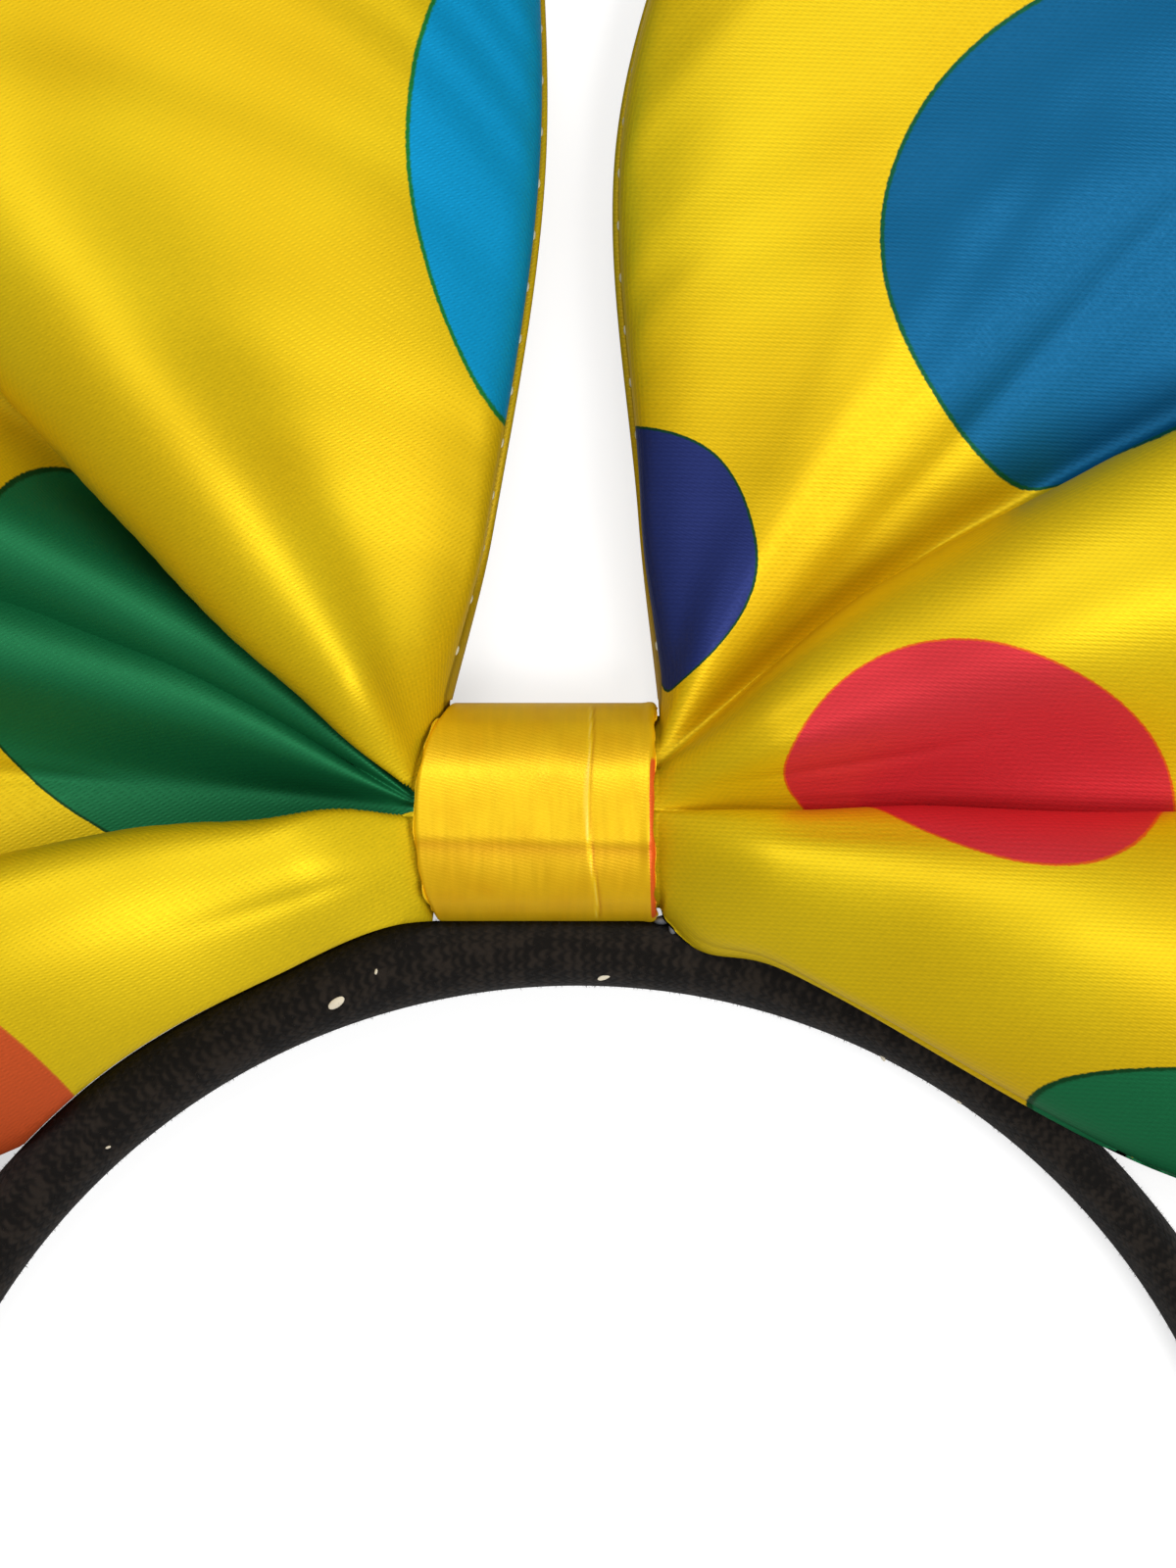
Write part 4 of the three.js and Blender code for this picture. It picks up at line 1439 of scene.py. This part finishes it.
@dataclass(frozen=True)
class Specks:
    """Bits of pale lint caught in the hoop's nap, and the bead of glue at the knot."""

    lint: tuple[tuple[float, ...], ...] = (
        (-24.6, -4.9, 0.95, 0.5), (2.8, -2.3, 0.7, 0.28), (31.2, -10.6, 0.45, 0.2), (-20.5, -1.8, 0.3, 0.16),
        (-47.8, -19.6, 0.3, 0.14), (38.9, -15.2, 0.3, 0.14),
    )
    glue: tuple[float, float, float] = (9.9, 3.0, 9.4)

    def make_lint(self, hoop: Hoop, finish: Material) -> Piece:
        """Flat flakes of lint, each laid on the nearest point of the sleeve.

        Args:
            hoop: the hoop.
            finish: its material.

        Returns:
            The new object.
        """
        distance, around = np.meshgrid(np.linspace(-90, 90, 900), np.linspace(0.3, math.pi - 0.3, 60))
        sleeve = hoop.surface(distance, around, 0.05).reshape(-1, 3)
        spots = np.array(self.lint)
        gaps = np.linalg.norm(sleeve[None, :, :2] - spots[:, None, :2], axis=-1)
        places = sleeve[np.argmin(gaps, axis=1)]
        turns = np.radians(np.array([35, 200, 120, 80, 20, 150]))
        ways = np.stack([np.cos(turns), np.sin(turns), np.zeros(len(turns))], axis=1)
        halves = np.stack([spots[:, 2], spots[:, 3], np.full(len(spots), 0.12)], axis=1)
        return placed(Beads(12, 9).skin(places, ways, halves).build("lint", finish), "black_cloth")

    def make_glue(self, finish: Material) -> Piece:
        """Small bead of glue that closes the gap between the knot's corner and the hoop.

        Args:
            finish: its material.

        Returns:
            The new object.
        """
        places = np.array([self.glue, (8.9, 3.5, 8.2)])
        ways = np.array([(0.25, 1.0, 0.0), (1.0, 0.1, 0.0)])
        halves = np.array([(1.0, 0.55, 0.9), (1.1, 0.5, 1.2)])
        return placed(Beads(16, 14).skin(places, ways, halves).build("glue_bead", finish), "plain_satin")


LEFT_DOTS = (
    Dot("blue beside the inner seam", 247.6, 56.9, 25.3, 27.9, Ink.CYAN, 13.4, 0.05),
    Dot("green in the valley", 100.6, 16.0, 52.2, 31.7, Ink.GREEN, -1.6, -0.45),
    Dot("orange at the lower seam", 8.1, 52.3, 28.7, 11.7, Ink.ORANGE, -5.5, 0.01, 0.4),
    Dot("red on the upper panel", 186, 112, 27, 24, Ink.RED, 0, 0, 0.4),
    Dot("navy on the valley's ridges", 108, 104, 29, 22, Ink.NAVY, 8, 0),
    Dot("blue at the lower rim", 38, 116, 26, 24, Ink.BLUE, -6, 0),
    Dot("rear green", REAR_SHIFT + 168, 62, 30, 25, Ink.GREEN, 10, 0),
    Dot("rear red", REAR_SHIFT + 92, 96, 30, 25, Ink.RED, 0, 0, 0.4),
    Dot("rear blue", REAR_SHIFT + 60, 38, 30, 20, Ink.BLUE, 6, 0),
    Dot("rear orange", REAR_SHIFT + 176, 122, 26, 20, Ink.ORANGE, 0, 0, 0.4),
    Dot("rear navy", REAR_SHIFT + 12, 92, 26, 22, Ink.NAVY, 0, 0),
)

RIGHT_DOTS = (
    Dot("big blue above", 143.6, 71.1, 29.9, 30.1, Ink.BLUE, 30.5, 0.35),
    Dot("navy by the inner seam", 196.5, 16.5, 43.5, 12.7, Ink.NAVY, -3.2, 0.03),
    Dot("red across the long crease", 70.3, 32.2, 30.1, 18.3, Ink.RED, 18.3, 0.08, 0.4),
    Dot("green at the lower seam", 4.6, 78.4, 20, 36.6, Ink.GREEN, 4.5, 0.01),
    Dot("orange by the upper rim", 192, 106, 24, 17, Ink.ORANGE, 0, 0, 0.4),
    Dot("green on the middle ridge", 80, 104, 29, 24, Ink.GREEN, 6, 0),
    Dot("red by the upper rim", 148, 130, 24, 16, Ink.RED, 0, 0, 0.4),
    Dot("navy on the lower bulge", 32, 130, 24, 18, Ink.NAVY, 0, 0),
    Dot("rear orange", REAR_SHIFT + 150, 58, 32, 24, Ink.ORANGE, 8, 0, 0.4),
    Dot("rear blue", REAR_SHIFT + 74, 84, 31, 26, Ink.BLUE, 0, 0),
    Dot("rear green", REAR_SHIFT + 160, 112, 28, 22, Ink.GREEN, 0, 0),
    Dot("rear red", REAR_SHIFT + 28, 46, 28, 20, Ink.RED, 6, 0, 0.4),
)

LEFT_WRINKLES = (
    Wrinkle("crease in the lower fold", 1.62, 0.5, 0.0, 0.24, 1.2, 0.8),
    Wrinkle("swell above that crease", 2.1, 0.6, 0.0, 0.2, 1.6, -0.5),
    Wrinkle("small crease at the valley's foot", 5.6, 0.2, 0.22, 0.5, 1.2, 0.6),
    Wrinkle("pleat by the upper ridge", 13.6, 0.6, 0.0, 0.16, 1.3, 0.3),
    Wrinkle("pleat on the upper panel", 14.6, 0.4, 0.0, 0.14, 1.4, 0.3),
)

RIGHT_WRINKLES = (
    Wrinkle("pleat on the middle panel", 5.4, 0.3, 0.0, 0.3, 0.9, 0.35),
    Wrinkle("pleat on the middle ridge", 6.1, 0.4, 0.0, 0.24, 0.9, 0.35),
    Wrinkle("lower pull of the upper panel", 9.7, 0.5, 0.02, 0.75, 2.6, 0.5),
    Wrinkle("middle pull of the upper panel", 10.5, 0.6, 0.04, 0.7, 3.0, 0.5),
    Wrinkle("upper pull of the upper panel", 11.4, 0.5, 0.04, 0.5, 3.6, 0.35),
    Wrinkle("fine pleat under the ridge", 4.9, 0.2, 0.0, 0.26, 0.7, 0.4),
    Wrinkle("short pleat under the crease", 3.1, -0.2, 0.0, 0.2, 0.9, 0.4),
    Wrinkle("pull on the lower bulge", 2.5, 0.3, 0.0, 0.3, 1.5, 0.4),
)


# The studio


@dataclass(frozen=True)
class Studio:
    """Pale floor, soft lights and a camera straight above, in millimetres."""

    view_x: float = 1.1
    view_y: float = 17.35
    view_tall: float = 160.0
    view_plane: float = 8.0
    lens: float = 250.0
    sensor: float = 36.0
    floor_glow: float = 0.62
    room_light: float = 0.3

    def make_camera(self) -> None:
        """Camera that looks straight down and takes in the photograph's 160 mm."""
        data = bpy.data.cameras.new("camera")
        data.lens = self.lens
        data.sensor_width = self.sensor
        data.sensor_fit = "AUTO"
        data.clip_end = 20
        camera = bpy.data.objects.new("camera", data)
        height = self.view_plane + self.lens / self.sensor * self.view_tall
        camera.location = (self.view_x * METRE, self.view_y * METRE, height * METRE)
        bpy.context.scene.collection.objects.link(camera)
        bpy.context.scene.camera = camera

    def make_light(self, name: str, place: tuple[float, float, float], size: float, power: float) -> None:
        """Square soft light at a place in metres that faces the bow.

        Args:
            name: its name.
            place: where it stands.
            size: its width in metres.
            power: its power in watts.
        """
        data = bpy.data.lights.new(name, "AREA")
        data.shape = "SQUARE"
        data.size = size
        data.energy = power
        light = bpy.data.objects.new(name, data)
        light.location = place
        target = np.array([0.0, 0.02, 0.0]) - np.array(place)
        tilt = math.atan2(math.hypot(target[0], target[1]), -target[2])
        light.rotation_euler = (tilt, 0.0, math.atan2(target[0], -target[1]) + math.pi)
        bpy.context.scene.collection.objects.link(light)

    def make_floor(self) -> None:
        """Pale floor just under the part."""
        g = Finish("pale floor")
        cloud = g.noise(g.place(), 3.0, 1.0)
        g.look(Base_Color=g.mix(cloud, (0.54, 0.54, 0.54, 1), (0.57, 0.57, 0.57, 1)), Roughness=0.9,
               Emission_Color=(1, 1, 1, 1))
        seen = g.add("LightPath").outputs["Is Camera Ray"]
        g.look(Emission_Strength=g.times(seen, self.floor_glow))
        span, z = 1500.0, -0.15
        points = np.array([[-span, -span, z], [span, -span, z], [span, span, z], [-span, span, z]])
        mesh = bpy.data.meshes.new("floor")
        mesh.from_pydata((points * METRE).tolist(), [], [(0, 1, 2, 3)])
        mesh.materials.append(g.material)
        floor = bpy.data.objects.new("floor", mesh)
        bpy.context.scene.collection.objects.link(floor)

    def make(self) -> None:
        """Sets up the camera, the lights, the floor and the tone of the picture."""
        self.make_camera()
        self.make_floor()
        self.make_light("key light", (0.42, -0.3, 0.85), 0.45, 6.0)
        self.make_light("fill light", (-0.15, 0.5, 0.9), 0.5, 4.0)
        world = bpy.data.worlds.new("studio")
        world.use_nodes = True
        room = world.node_tree.nodes["Background"]
        room.inputs["Color"].default_value = (1, 1, 1, 1)
        room.inputs["Strength"].default_value = self.room_light
        bpy.context.scene.world = world
        bpy.context.scene.view_settings.view_transform = "Standard"


def write_sizes() -> None:
    """Brings the view layer up to date."""
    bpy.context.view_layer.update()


def main() -> None:
    """Builds the pieces in order and reports each one."""
    logging.basicConfig(level=logging.INFO, format="%(message)s")
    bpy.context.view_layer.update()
    Studio().make()
    dot_tree = printed_dot()
    weave_tree = satin_weave()
    hoop = Hoop()
    knot = KnotWrap()
    knit = BlackKnit().make()
    hoop.make_sleeve(knit)
    hoop.make_fuzz(plain_finish("loose fibres", linear(40, 34, 30), 0.9))
    left_cloth = DottedSatin("dotted satin left", LEFT_DOTS).make(dot_tree, weave_tree)
    right_cloth = DottedSatin("dotted satin right", RIGHT_DOTS, slant=0.04).make(dot_tree, weave_tree)
    left_wing = SatinWing("left_wing", -1, LEFT_FOLDS, LEFT_WRINKLES, knot, hoop)
    right_wing = SatinWing("right_wing", 1, RIGHT_FOLDS, RIGHT_WRINKLES, knot, hoop)
    left_wing.make(left_cloth, "bow_wing_left")
    right_wing.make(right_cloth, "bow_wing_right")
    knot.make(PlainSatin().make(weave_tree))
    thread = plain_finish("seam thread", linear(196, 190, 160), 0.6)
    SeamStitches().make(left_wing, thread)
    SeamStitches().make(right_wing, thread)
    Specks().make_lint(hoop, plain_finish("lint", linear(214, 204, 182), 0.9, 0.2))
    Specks().make_glue(plain_finish("set glue", linear(120, 122, 128), 0.15))
    write_sizes()


if __name__ == "__main__":
    main()
